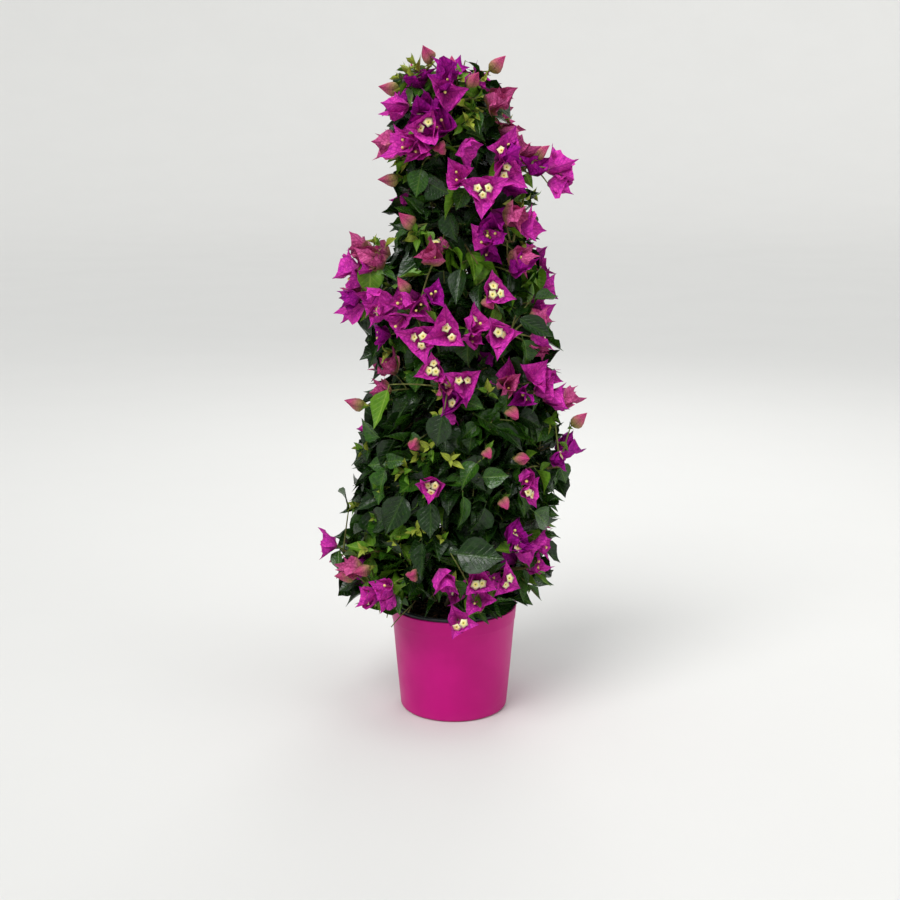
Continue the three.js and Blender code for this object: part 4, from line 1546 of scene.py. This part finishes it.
    def grow_mass(self, m: int, tier: Tier, bearing: float, stem: Curve) -> None:
        """Grows the twigs of a leafy mass, and the crest of the topmost one.

        Args:
            m: The mass's number.
            tier: Its tier.
            bearing: The middle of its stretch round the trunk.
            stem: Its stem's curve.
        """
        is_top = tier.count == 1
        count = self.top_twigs if is_top else self.twigs
        for k in range(count):
            root = bend_at(stem, between(0.1 if is_top else 0.4, 0.97, (k * GOLDEN_PART) % 1))[0]
            across = ((k + 1) * GOLDEN_SHARE + draw(m)) % 1
            turn = bearing + math.pi / tier.count * between(-0.95, 0.95, across)
            z = between(tier.low, tier.high, (k + 0.7) / count)
            end = Crown.point(turn, z, self.tip_share * drawn(0.85, 1.18, m, k, 1))
            end.z = min(end.z, self.twig_top)
            if end.z < self.pot_top + 4 and math.hypot(end.x, end.y) < self.pot_radius:
                end.z = self.pot_top + 6
            self.grow_twig(m, k, root, end)
        for i in range(self.crest_leaves if is_top else 0):
            at = bend_at(stem, between(0.75, 1.0, i / self.crest_leaves))[0]
            along, face = tipped(level(i * GOLDEN_TURN), -UP, -drawn(-0.1, 0.75, m, i, 41))
            length = drawn(*self.crest_lengths, m, i, 42)
            if (at + along * length).z < self.top_limit:
                tint = FULL if draw(m, i, 43) < self.full_share else FRESH
                variant = int(draw(m, i, 44) * len(LEAF_SHAPES))
                self.leaves[tint].append(Placed(at, along, face, length, variant))

    def grow_twig(self, m: int, k: int, root: Vector, end: Vector) -> None:
        """Grows one twig with its side twigs and leaves.

        Args:
            m: The mass's number.
            k: The twig's number.
            root: Where it leaves the stem.
            end: Where it ends.
        """
        curve = (root, root.lerp(end, 0.5) + UP * (0.1 * (end - root).length), end)
        self.limb(self.twig_limbs, curve, LimbKind.TWIG)
        pick = draw(m, k, 30) + (0.12 if end.x < -50 and end.z < 430 else 0.0)
        tint = DARK if pick < 0.62 else FULL if pick < 0.95 else FRESH
        for i in range(self.twig_leaves):
            at, ahead = bend_at(curve, 1.0 - 0.11 * i)
            self.add_leaf(at, ahead, (m, k, i), tint)
        for i in range(self.inner_leaves):
            at, ahead = bend_at(curve, between(0.02, 0.4, (i + 0.5) / self.inner_leaves))
            self.add_leaf(at, ahead, (m, k, 50 + i), DARK, 1.05)
        for j in range(self.side_twigs):
            at, ahead = bend_at(curve, 0.4 + 0.22 * j)
            axis = spun(ahead.orthogonal(), ahead, draw(m, k, j, 31) * math.tau)
            way = spun(ahead, axis, drawn(0.6, 1.2, m, k, j, 32))
            side_end = at + way * drawn(*self.side_lengths, m, k, j, 33)
            if Crown.place(side_end)[1] > self.side_reach or not self.off_pot(side_end):
                continue
            side = (at, at.lerp(side_end, 0.5) + UP * 3, side_end)
            self.limb(self.sprig_limbs, side, LimbKind.SIDE_TWIG)
            for i in range(self.side_leaves):
                spot, onward = bend_at(side, 1.0 - 0.24 * i)
                self.add_leaf(spot, onward, (m, k, 10 + 4 * j + i), tint, 0.92)
        if draw(m, k, 34) < self.lime_twigs and Crown.place(end)[1] > 0.6:
            out = (level(Crown.place(end)[0]) + UP * drawn(-0.2, 0.7, m, k, 35)).normalized()
            tip = end + out * 16
            if self.off_pot(tip - UP * 16) and self.sees_over(tip):
                self.limb(self.sprig_limbs, (end, end.lerp(tip, 0.5), tip), LimbKind.LIME_TWIG)
                self.add_lime(tip, out, (m, k, 36), 5)

    # Leaves

    def set_leaf(self, m: int, leaf: FacingLeaf) -> None:
        """Sets a leaf that stands out by itself, on a sprig.

        Args:
            m: The number for its draws.
            leaf: The leaf.
        """
        foot = Vector((leaf.x, leaf.y, leaf.z))
        out = level(Crown.place(foot)[0])
        aside = to_the_right(out) * leaf.lean + UP * leaf.lift
        along = (aside + out * drawn(0.1, 0.5, m, 6)).normalized()
        face = (out + UP * 0.3).cross(along).normalized()
        upper = spun(along.cross(face).normalized(), along, drawn(-0.7, 0.7, m, 7))
        while self.is_cut(foot, along, upper, leaf.length):
            foot += out * 3
            if Crown.place(foot)[1] > self.facing_reach:
                return
        root = self.nearest_root(foot)
        self.limb(self.sprig_limbs, (root, root.lerp(foot, 0.5) + UP * 5, foot), LimbKind.LEAF_TWIG)
        variant = int(draw(m, 5) * len(LEAF_SHAPES))
        self.leaves[leaf.tint].append(Placed(foot, along, upper, leaf.length, variant))
        for share in (0.25, 0.55, 0.85):
            self.blooms.append(Bloom(foot + along * (share * leaf.length), out, self.leaf_room))

    def is_cut(self, foot: Vector, along: Vector, upper: Vector, length: float) -> bool:
        """Tests whether a bract comes through a leaf.

        Args:
            foot: The leaf's foot.
            along: Its direction.
            upper: The way that its upper face looks.
            length: Its length.

        Returns:
            True if a point of a bract lies close to the blade.
        """
        side = along.cross(upper)
        for bract in (b for kind in self.bracts.values() for b in kind if (b.at - foot).length < 110):
            for share in (0.2, 0.45, 0.7, 0.95):
                rest = bract.at + bract.along * (share * bract.size) - foot
                room = 9 * (1 - share)
                is_near = abs(rest.dot(upper)) < 5 + room and abs(rest.dot(side)) < 0.3 * length + room
                if is_near and 0 < rest.dot(along) < length:
                    return True
        return False

    def off_pot(self, point: Vector) -> bool:
        """Returns True if a point is clear of the pot and what fills it."""
        return point.z > self.pot_top or math.hypot(point.x, point.y) > self.pot_radius

    def sees_over(self, point: Vector) -> bool:
        """Returns True if a point leaves the pot's rim and the compost's front open to view."""
        if point.z < self.rim_clear:
            return False
        if point.y < 0 and self.gap_left < point.x < self.gap_right:
            return point.z > self.gap_height - self.gap_slope * (point.y + 100)
        return True

    def add_leaf(
        self, at: Vector, ahead: Vector, keys: tuple[int, ...], tint: LeafTint, size: float = 1.0
    ) -> None:
        """Adds a leaf that hangs outwards and down, if there is room.

        Args:
            at: The leaf's foot.
            ahead: The twig's direction there.
            keys: The numbers for the draws.
            tint: The leaf's green.
            size: Its size beside a full leaf.
        """
        outward = level(Crown.place(at)[0]) + ahead * 0.5
        base_turn = math.atan2(outward.y, outward.x)
        for attempt in range(self.leaf_tries):
            side = 1 if (keys[-1] + attempt) % 2 else -1
            turn = base_turn + side * drawn(0.0, 1.6, *keys, attempt, 1)
            along, face = tipped(level(turn), -UP, drawn(*self.leaf_droop, *keys, attempt, 2))
            face = spun(face, along, drawn(-1.0, 1.0, *keys, attempt, 3))
            length = self.leaf_length * size * drawn(*self.leaf_sizes, *keys, 4) * (1 - 0.05 * attempt)
            if self.leaf_fits(at, along, length):
                variant = int(draw(*keys, 5) * len(LEAF_SHAPES))
                self.leaves[tint].append(Placed(at, along, face, length, variant))
                return

    def leaf_fits(self, at: Vector, along: Vector, length: float) -> bool:
        """Tests a leaf's place, and takes it if it is free.

        Args:
            at: The leaf's foot.
            along: Its direction.
            length: Its length.

        Returns:
            True if the leaf keeps inside the crown, off the pot, out of the blossoms' faces and
            clear of its neighbours' middles.
        """
        middle, tip = at + along * (self.leaf_middle * length), at + along * length
        if Crown.place(tip)[1] > self.reach or tip.z > self.top_limit:
            return False
        if not all(self.off_pot(p) and self.sees_over(p) for p in (middle, tip)):
            return False
        for bloom in self.blooms:
            for point in (middle, tip):
                rest = point - bloom.at
                if rest.length < bloom.room and rest.dot(bloom.facing) > -3:
                    return False
        cell = tuple(int(math.floor(v / self.leaf_spacing)) for v in middle)
        for step in product((-1, 0, 1), repeat=3):
            near = self.grid.get(tuple(c + s for c, s in zip(cell, step)), ())
            if any((other - middle).length < self.leaf_spacing for other in near):
                return False
        self.grid[cell].append(middle)
        return True


# Template shapes, of length 1 along +Y with +Z as the upper face -----------------------------


@dataclass(frozen=True)
class BladeShape:
    """A leaf or bract blade: its half widths along its length, and how it folds and waves."""

    profile: tuple[Pair, ...]
    half_width: float
    fold: float
    curl: float
    wave: float
    phase: float
    twist: float = 0.0
    stalk: float = 0.0
    columns: int = 4

    def mesh(self, name: str) -> bpy.types.Mesh:
        """Builds the blade, with its stalk.

        Args:
            name: The mesh's name.

        Returns:
            The mesh, with the pattern map's U across and V along.
        """
        corners: list[Vector] = []
        maps: list[Pair] = []
        faces: Faces = []
        wide = self.columns + 1
        for v, share in self.profile:
            for c in range(wide):
                u = 2 * c / self.columns - 1
                x = u * share * self.half_width
                ripple = self.wave * math.sin(math.tau * (1.6 * v + self.phase + 0.12 * u)) * u * u
                bowl = 0.4 * abs(x) + 0.6 * x * x / self.half_width
                z = self.fold * bowl - self.curl * v**2 + ripple * share
                lean = self.twist * v
                y = self.stalk + (1 - self.stalk) * v * (1 - 0.35 * self.curl * v)
                corners.append(Vector((x * math.cos(lean), y, z + x * math.sin(lean))))
                maps.append((0.5 + 0.5 * u * max(share, 0.15), v))
        for r in range(len(self.profile) - 1):
            for c in range(self.columns):
                a = r * wide + c
                faces.append((a, a + 1, a + 1 + wide, a + wide))
        if self.stalk:
            start = len(corners)
            for y, radius in ((0.0, 0.013), (self.stalk * 1.06, 0.01)):
                for i in range(3):
                    turn = math.tau * i / 3 + math.pi / 2
                    corners.append(Vector((radius * math.cos(turn), y, radius * math.sin(turn) - 0.006)))
                    maps.append((0.5, 0.02))
            for i in range(3):
                j = (i + 1) % 3
                faces.append((start + i, start + 3 + i, start + 3 + j, start + j))
        return make_mesh(name, corners, faces, maps)


LEAF_PROFILE = (
    (0.0, 0.08), (0.07, 0.5), (0.18, 0.85), (0.34, 1.0), (0.53, 0.92), (0.7, 0.64), (0.85, 0.26), (1.0, 0.01),
)
BRACT_PROFILE = (
    (0.0, 0.3), (0.09, 0.78), (0.24, 1.0), (0.42, 0.94), (0.58, 0.72), (0.73, 0.42), (0.87, 0.15), (1.0, 0.01),
)
LEAF_ROWS = (
    (0.32, 0.5, 0.2, 0.045, 0.0, 0.2, 0.14), (0.3, 0.75, 0.34, 0.055, 0.4, -0.4, 0.16),
    (0.34, 0.35, 0.06, 0.06, 0.7, 0.35, 0.13), (0.29, 0.6, 0.48, 0.04, 0.2, -0.2, 0.15),
    (0.33, 0.4, -0.12, 0.065, 0.9, 0.5, 0.14), (0.2, 0.6, 0.3, 0.03, 0.3, 0.3, 0.12),
    (0.23, 0.8, -0.12, 0.04, 0.6, -0.2, 0.13),
)
BRACT_ROWS = (
    (0.4, 0.9, -0.2, 0.14, 0.1, 0.1), (0.43, 0.6, -0.34, 0.19, 0.5, 0.4), (0.4, 1.1, 0.3, 0.13, 0.8, -0.4),
    (0.42, 0.75, 0.06, 0.21, 0.3, 0.25), (0.41, 1.3, -0.1, 0.12, 0.6, 0.15),
)
LEAF_SHAPES = tuple(BladeShape(LEAF_PROFILE, *row) for row in LEAF_ROWS)
BRACT_SHAPES = tuple(BladeShape(BRACT_PROFILE, *row, columns=6) for row in BRACT_ROWS)


@dataclass(frozen=True)
class LanternShape:
    """A closed bud: three bracts that meet in ridges, drawn to a point."""

    radius: float = 0.3
    ridge: float = 0.28
    twist: float = 0.5
    sides: int = 12
    rings: tuple[Pair, ...] = (
        (0.0, 0.12), (0.06, 0.52), (0.19, 0.92), (0.36, 1.0),
        (0.56, 0.8), (0.75, 0.46), (0.9, 0.2), (1.0, 0.02),
    )

    def mesh(self, name: str) -> bpy.types.Mesh:
        """Builds the bud.

        Args:
            name: The mesh's name.

        Returns:
            The closed mesh.
        """
        corners: list[Vector] = []
        maps: list[Pair] = []
        for v, share in self.rings:
            for i in range(self.sides):
                turn = math.tau * i / self.sides + self.twist * v
                radius = self.radius * share * (1 + self.ridge * math.cos(3 * (turn - self.twist * v)))
                corners.append(Vector((radius * math.cos(turn), v, radius * math.sin(turn))))
                maps.append((abs(2 * (i / self.sides * 3 % 1) - 1) * 0.5 + 0.5, v))
        last = (len(self.rings) - 1) * self.sides
        faces = tube_faces(len(self.rings), self.sides)
        faces += [tuple(range(self.sides)), tuple(reversed(range(last, last + self.sides)))]
        return make_mesh(name, corners, faces, maps)


@dataclass(frozen=True)
class FloretShape:
    """A tube that opens in a five-lobed star, in metres."""

    length: float = 16 * MM
    tube_radius: float = 1.15 * MM
    mouth_radius: float = 1.6 * MM
    star_radius: float = 6.4 * MM
    notch_radius: float = 4.7 * MM
    closed_radius: float = 1.9 * MM
    lobes: int = 5

    def mesh(self, name: str, is_open: bool) -> bpy.types.Mesh:
        """Builds the floret.

        Args:
            name: The mesh's name.
            is_open: Whether its star is open.

        Returns:
            The mesh, with the pattern map's U out from the throat and V 1 on the tube.
        """
        corners: list[Vector] = []
        maps: list[Pair] = []
        count = self.lobes * 2

        def lobed(radius: float, notch: float, y: float, u: float, v: float) -> None:
            """Adds a ring whose corners lie at two radii in turn, at a share of the length."""
            for i in range(count):
                turn = math.tau * i / count
                r = radius if i % 2 == 0 else notch
                corners.append(Vector((r * math.cos(turn), self.length * y, r * math.sin(turn))))
                maps.append((u, v))

        tube, mouth = self.tube_radius, self.mouth_radius
        lobed(tube, tube, 0.0, 0.9, 1.0)
        lobed(tube, tube, 0.55, 0.9, 1.0)
        lobed(mouth, mouth, 0.96, 0.2, 0.9)
        if is_open:
            lobed(self.star_radius, self.notch_radius, 1.04, 1.0, 0.0)
            lobed(mouth * 0.9, mouth * 0.9, 0.985, 0.2, 0.0)
        else:
            lobed(self.closed_radius, self.closed_radius, 1.06, 0.17, 0.0)
            lobed(mouth * 0.7, mouth * 0.7, 1.14, 0.2, 0.0)
        corners.append(Vector((0.0, self.length * (0.93 if is_open else 1.17), 0.0)))
        maps.append((0.0 if is_open else 0.2, 0.0))
        faces = tube_faces(5, count)
        faces += [(4 * count + i, 5 * count, 4 * count + (i + 1) % count) for i in range(count)]
        return make_mesh(name, corners, faces, maps)


# Sub-assemblies -----------------------------------------------------------------------------


def hand_over(piece: bpy.types.Object, nodes: Iterable[str] = ()) -> bpy.types.Object:
    """Gives a finished piece to the frame.

    Args:
        piece: The piece.
        nodes: The nodes that it stands for.

    Returns:
        The piece.
    """
    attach(piece, "root")
    names = list(nodes)
    if names:
        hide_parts(*names)
    log.info("%s: %d faces, for %s", piece.name, len(piece.data.polygons), ", ".join(names[:3]) or "no node")
    return piece


@dataclass
class Pots:
    """The magenta cover pot and the dark inner pot."""

    sides: int = 128
    foot_radius: float = 72.5 * MM
    wall: float = 2.4 * MM
    floor: float = 3 * MM
    foot_round: float = 5 * MM
    band_height: float = 20 * MM
    band_step: float = 0.8 * MM
    lip_inner: float = 76.6 * MM
    lip_depth: float = 7.5 * MM
    lip_round: float = 2.4 * MM
    inner_wall: float = 1.6 * MM
    inner_clearance: float = 0.8 * MM

    def radius(self, z: float, rim: float, height: float) -> float:
        """Returns the cover pot's radius at a height, without its band."""
        return between(self.foot_radius, rim - self.band_step, z / height)

    def build(self) -> None:
        """Builds both pots."""
        low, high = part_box("pot")
        rim, height = high[0], high[2]
        side = lambda z: self.radius(z, rim, height)
        band = height - self.band_height
        foot = self.foot_radius - self.foot_round
        profile = [
            (0.0, 0.0),
            (foot - 4 * MM, 0.0),
            *round_off(foot, self.foot_round, self.foot_round, 270, 356, 8),
            (side(band * 0.5), band * 0.5),
            (side(band - 0.6 * MM), band - 0.6 * MM),
            (side(band) + self.band_step * 0.5, band + 0.3 * MM),
            (side(band) + self.band_step, band + 1.5 * MM),
            (rim - 0.15 * MM, height - 1.4 * MM),
            *round_off(rim - 0.9 * MM, height - 0.9 * MM, 0.9 * MM, 10, 90, 4),
            (rim - self.wall, height),
            (rim - self.wall - 0.4 * MM, height - 1 * MM),
            (side(self.floor) - self.wall, self.floor + 3 * MM),
            (side(self.floor) - self.wall - 3 * MM, self.floor),
            (0.0, self.floor),
        ]
        hand_over(turned("cover_pot", profile, self.sides, POT_FINISH.build()), ["pot"])
        self.build_inner(side)

    def build_inner(self, side: Callable[[float], float]) -> None:
        """Builds the inner pot.

        Args:
            side: Gives the cover pot's radius at a height.
        """
        low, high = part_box("inner_pot")
        outer, top, bottom = high[0], high[2], low[2]
        foot = side(bottom) - self.wall - self.inner_clearance - 4 * MM
        lip_foot = top - self.lip_depth
        r = self.lip_round
        profile = [
            (0.0, bottom),
            (foot - 2 * MM, bottom),
            (foot, bottom + 2 * MM),
            (self.lip_inner + self.inner_wall, lip_foot),
            (outer - 0.6 * MM, lip_foot),
            (outer, lip_foot + 0.6 * MM),
            *round_off(outer - r, top - r, r, 0, 90, 6),
            *round_off(self.lip_inner + r, top - r, r, 90, 180, 6),
            (self.lip_inner - 0.6 * MM, top - 11 * MM),
            (foot - self.inner_wall, bottom + 2 * MM),
            (0.0, bottom + 2 * MM),
        ]
        piece = turned("inner_pot_lip", profile, self.sides, INNER_FINISH.build())
        hand_over(piece, ["inner_pot"])


@dataclass
class CompostBed:
    """The compost: a lumpy bed with bark chips strewn on it."""

    rings: int = 22
    sides: int = 96
    dome: float = 2.4 * MM
    lump: float = 3.2 * MM
    foot_share: float = 0.86
    chip_density: float = 26000.0
    chip_sizes: Pair = (0.5, 1.5)
    chip_shapes: int = 5
    chip_seed: int = 7

    def height(self, x: float, y: float, edge: float, top: float) -> float:
        """Gives the bed's height.

        Args:
            x: The place across.
            y: The place in depth.
            edge: The bed's radius.
            top: Its mean height.

        Returns:
            The height there.
        """
        reach = math.hypot(x, y) / edge
        lumps = noise.fractal(Vector((x * 60, y * 60, 3.1)), 0.9, 2.1, 4)
        return top + self.dome * (1 - reach**2) + self.lump * lumps * min(1.0, (1.02 - reach) * 6)

    def build(self) -> None:
        """Builds the bed and the chips."""
        low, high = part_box("compost")
        edge, top, bottom = high[0], TRUNK.foot * MM - 0.6 * MM, low[2]
        level_corners = [(0.0, 0.0)]
        for r in range(1, self.rings + 1):
            level_corners += [(x, y) for x, y, _ in ring(edge * r / self.rings, 0.0, self.sides)]
        corners = [(x, y, self.height(x, y, edge, top)) for x, y in level_corners]
        faces = bowl_faces(self.rings, self.sides)
        surface = make_mesh("surface", corners, faces)
        last = len(corners) - self.sides
        foot = last + self.sides
        corners += [(x * self.foot_share, y * self.foot_share, bottom) for x, y, _ in corners[last:]]
        for i in range(self.sides):
            j = (i + 1) % self.sides
            faces.append((last + i, foot + i, foot + j, last + j))
        faces.append(tuple(reversed(range(foot, foot + self.sides))))
        bed = make_object("compost_bed", make_mesh("bed", corners, faces), PEAT_FINISH.build())
        hand_over(bed, ["compost"])
        box = ShapeBox("chip", [self.chip(i) for i in range(self.chip_shapes)])
        values = {
            "Shapes": box.collection,
            "Density": self.chip_density,
            "Smallest": self.chip_sizes[0],
            "Largest": self.chip_sizes[1],
            "Seed": self.chip_seed,
            "Material": CHIP_FINISH.build(),
        }
        hand_over(StrewTree().run("bark_chips", surface, values))
        box.empty()

    @staticmethod
    def chip(index: int) -> bpy.types.Mesh:
        """Makes one rough chip.

        Args:
            index: Its number.

        Returns:
            A closed mesh of a few faces.
        """
        size = Vector((drawn(2.4, 4.6, index, 50), drawn(1.4, 2.4, index, 51), 0.9)) * MM
        corners = []
        for z in (-1, 1):
            for i in range(5):
                turn = math.tau * i / 5
                rough = drawn(0.75, 1.15, index, 52, i, z + 1)
                corners.append(
                    (size.x * math.cos(turn) * rough, size.y * math.sin(turn) * rough, size.z * z * 0.5 * rough)
                )
        faces = [(4, 3, 2, 1, 0), (5, 6, 7, 8, 9)]
        faces += [(i, (i + 1) % 5, 5 + (i + 1) % 5, 5 + i) for i in range(5)]
        mesh = make_mesh(f"chip_{index}", corners, faces)
        mesh.polygons.foreach_set("use_smooth", [False] * len(mesh.polygons))
        return mesh


@dataclass
class Wood:
    """The trunk, the boughs and the twigs."""

    growth: Growth
    trunk_steps: int = 150
    trunk_relief: float = 2.6 * MM
    bough_relief: float = 1.2 * MM
    twig_relief: float = 0.4 * MM
    sprig_relief: float = 0.2 * MM
    relief_scale: float = 260.0
    relief_stretch: float = 0.22

    def paths(self, limbs: Sequence[Limb]) -> bpy.types.Mesh:
        """Makes the edges that the sweep follows.

        Args:
            limbs: The limbs, in millimetres.

        Returns:
            A mesh of edges, with the girth at each point.
        """
        corners: list[Vector] = []
        edges: list[tuple[int, int]] = []
        girths: list[float] = []
        for limb in limbs:
            start = len(corners)
            corners += [p * MM for p in limb.points]
            girths += [g * MM for g in limb.girths]
            edges += [(start + i, start + i + 1) for i in range(len(limb.points) - 1)]
        mesh = bpy.data.meshes.new("paths")
        mesh.from_pydata([tuple(p) for p in corners], edges, [])
        mesh.attributes.new("girth", "FLOAT", "POINT").data.foreach_set("value", girths)
        return mesh

    def trunk(self) -> Limb:
        """Returns the trunk's middle line, with close steps at its flare."""
        shares = [(i / self.trunk_steps) ** 1.25 for i in range(self.trunk_steps + 1)]
        heights = [between(TRUNK.foot, TRUNK.tip, t) for t in shares]
        return Limb([TRUNK.at(z) for z in heights], [TRUNK.radius(z) for z in heights])

    def build(self, bough_nodes: list[str]) -> None:
        """Builds each kind of limb as one piece.

        Args:
            bough_nodes: The nodes of the boughs.
        """
        sweep = SweepTree()
        kinds: tuple[tuple[str, Sequence[Limb], int, float, Finish, list[str]], ...] = (
            ("trunk_wood", [self.trunk()], 28, self.trunk_relief, TRUNK_FINISH, ["trunk"]),
            ("bough_wood", self.growth.boughs, 12, self.bough_relief, BOUGH_FINISH, bough_nodes),
            ("twigs", self.growth.stems + self.growth.twig_limbs, 6, self.twig_relief, TWIG_FINISH, []),
            ("sprigs", self.growth.sprig_limbs, 5, self.sprig_relief, SPRIG_FINISH, []),
        )
        for name, limbs, sides, relief, finish, nodes in kinds:
            values = {
                "Sides": sides,
                "Relief": relief,
                "Relief Scale": self.relief_scale,
                "Relief Stretch": self.relief_stretch,
                "Material": finish.build(),
            }
            hand_over(sweep.run(name, self.paths(limbs), values), nodes)


@dataclass
class Greenery:
    """The leaves, bracts, florets and buds."""

    growth: Growth
    spread: float = 0.03
    seed: int = 3
    scatter: ScatterTree = field(default_factory=ScatterTree)

    def points(self, shapes: Sequence[Placed]) -> bpy.types.Mesh:
        """Makes the points that the shapes are set at.

        Args:
            shapes: The placed shapes, in millimetres.

        Returns:
            A mesh of points with a turn, a size and a variant.
        """
        mesh = bpy.data.meshes.new("points")
        mesh.from_pydata([tuple(p.at * MM) for p in shapes], [], [])
        turns = [value for p in shapes for value in p.turn()]
        mesh.attributes.new("turn", "FLOAT_VECTOR", "POINT").data.foreach_set("vector", turns)
        mesh.attributes.new("size", "FLOAT", "POINT").data.foreach_set("value", [p.size for p in shapes])
        mesh.attributes.new("variant", "INT", "POINT").data.foreach_set("value", [p.variant for p in shapes])
        return mesh

    def set_out(
        self, name: str, shapes: Sequence[Placed], box: ShapeBox, scale: float, finish: Finish
    ) -> bpy.types.Object:
        """Sets one kind of shape in the crown.

        Args:
            name: The piece's name.
            shapes: The placed shapes.
            box: The templates.
            scale: Metres for each unit of size.
            finish: The finish.

        Returns:
            The piece.
        """
        values = {
            "Shapes": box.collection,
            "Size": scale,
            "Spread": self.spread,
            "Seed": self.seed,
            "Material": finish.build(),
        }
        log.info("%s: %d shapes", name, len(shapes))
        return self.scatter.run(name, self.points(shapes), values)

    def build(self, leafy_nodes: list[str], blossom_nodes: list[str]) -> None:
        """Builds every kind.

        Args:
            leafy_nodes: The nodes of the leafy masses.
            blossom_nodes: The nodes of the sprays.
        """
        kinds = (
            ("leaf", "leaves", LEAF_SHAPES, self.growth.leaves, LeafTint, "foliage", leafy_nodes),
            ("bract", "bracts", BRACT_SHAPES, self.growth.bracts, BractTint, "bracts", blossom_nodes),
        )
        for one, many, shapes, placed, tints, slot, nodes in kinds:
            box = ShapeBox(one, [s.mesh(f"{one}_{i}") for i, s in enumerate(shapes)])
            for tint in tints:
                piece = self.set_out(f"{many}_{tint.name.lower()}", placed[tint], box, MM, tint.value)
                hand_over(piece, nodes if tint in (DARK, BractTint.DEEP) else ())
            box.empty()
        floret = FloretShape()
        florets = ShapeBox("floret", [floret.mesh("floret", True), floret.mesh("closed_floret", False)])
        hand_over(self.set_out("florets", self.growth.florets, florets, 1.0, FLORET_FINISH))
        florets.empty()
        shapes = (LanternShape(), LanternShape(0.27, 0.32, 0.8))
        lanterns = ShapeBox("lantern", [s.mesh(f"lantern_{i}") for i, s in enumerate(shapes)])
        hand_over(self.set_out("bud_lanterns", self.growth.lanterns, lanterns, MM, LANTERN_FINISH))
        lanterns.empty()


@dataclass
class Studio:
    """The floor with its backdrop, the soft lights and the camera."""

    camera_place: tuple[float, float, float] = (-0.005, -1.93, 0.812)
    camera_pitch: float = math.radians(13.3)
    lens: float = 60.0
    floor_radius: float = 6.5
    sweep: float = 5.5
    sweep_steps: int = 20
    sides: int = 96
    sky: str = "eef2f5"
    sky_strength: float = 0.5
    sun_strength: float = 2.0
    sun_angle: float = math.radians(32)

    def floor(self) -> bpy.types.Object:
        """Builds the pale round floor, which sweeps up far off into a backdrop.

        Returns:
            The floor.
        """
        rings = [(self.floor_radius / 2, 0.0)]
        for i in range(self.sweep_steps + 1):
            turn = math.pi / 2 * i / self.sweep_steps
            rings.append((self.floor_radius + self.sweep * math.sin(turn), self.sweep * (1 - math.cos(turn))))
        corners = [(0.0, 0.0, 0.0)]
        for radius, z in rings:
            corners += ring(radius, z, self.sides)
        mesh = make_mesh("floor", corners, bowl_faces(len(rings), self.sides))
        return make_object("floor", mesh, FloorFinish("floor").build())

    def build(self) -> None:
        """Sets up the floor, lights and camera."""
        self.floor()
        scene = bpy.context.scene
        world = bpy.data.worlds.new("studio")
        world.use_nodes = True
        sky = world.node_tree.nodes["Background"]
        sky.inputs[0].default_value = paint(self.sky)
        sky.inputs[1].default_value = self.sky_strength
        scene.world = world
        scene.view_settings.view_transform = "Standard"
        sun = bpy.data.lights.new("soft_sun", "SUN")
        sun.energy = self.sun_strength
        sun.angle = self.sun_angle
        self.hang("soft_sun", sun, (-1.1, -1.7, 2.9), (0.0, 0.0, 0.45))
        self.lamp("top_light", (0.2, -0.2, 2.3), (0.0, 0.0, 0.5), 1.2, 12.0)
        self.lamp("side_light", (1.8, -1.1, 1.5), (0.0, 0.0, 0.5), 1.1, 7.0)
        self.lamp("back_light", (0.4, 1.9, 1.8), (0.0, 0.0, 0.6), 1.1, 12.0)
        camera = bpy.data.cameras.new("camera")
        camera.lens = self.lens
        camera.sensor_width = 36.0
        view = bpy.data.objects.new("camera", camera)
        view.location = self.camera_place
        view.rotation_euler = (math.pi / 2 - self.camera_pitch, 0.0, 0.0)
        scene.collection.objects.link(view)
        scene.camera = view

    @staticmethod
    def hang(name: str, light: bpy.types.Light, place: tuple, target: tuple) -> None:
        """Hangs a light.

        Args:
            name: Its name.
            light: The light.
            place: Where it hangs.
            target: What it points at.
        """
        lamp = bpy.data.objects.new(name, light)
        lamp.location = place
        lamp.rotation_euler = (Vector(target) - Vector(place)).to_track_quat("-Z", "Y").to_euler()
        bpy.context.scene.collection.objects.link(lamp)

    @staticmethod
    def lamp(name: str, place: tuple, target: tuple, size: float, power: float) -> None:
        """Adds a soft square light.

        Args:
            name: Its name.
            place: Where it hangs.
            target: What it points at.
            size: Its side.
            power: Its power in watts.
        """
        light = bpy.data.lights.new(name, "AREA")
        light.size = size
        light.energy = power
        Studio.hang(name, light, place, target)


def main() -> None:
    """Dresses the frame and reports each piece."""
    logging.basicConfig(level=logging.INFO, format="%(message)s")
    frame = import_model()
    boughs, masses, sprays = (
        [n for n in frame["nodes"] if n.startswith(kind)] for kind in ("bough_", "leaves_", "blossom_")
    )
    growth = Growth().run()
    Studio().build()
    Pots().build()
    CompostBed().build()
    Wood(growth).build(boughs)
    Greenery(growth).build(masses, sprays)


if __name__ == "__main__":
    main()
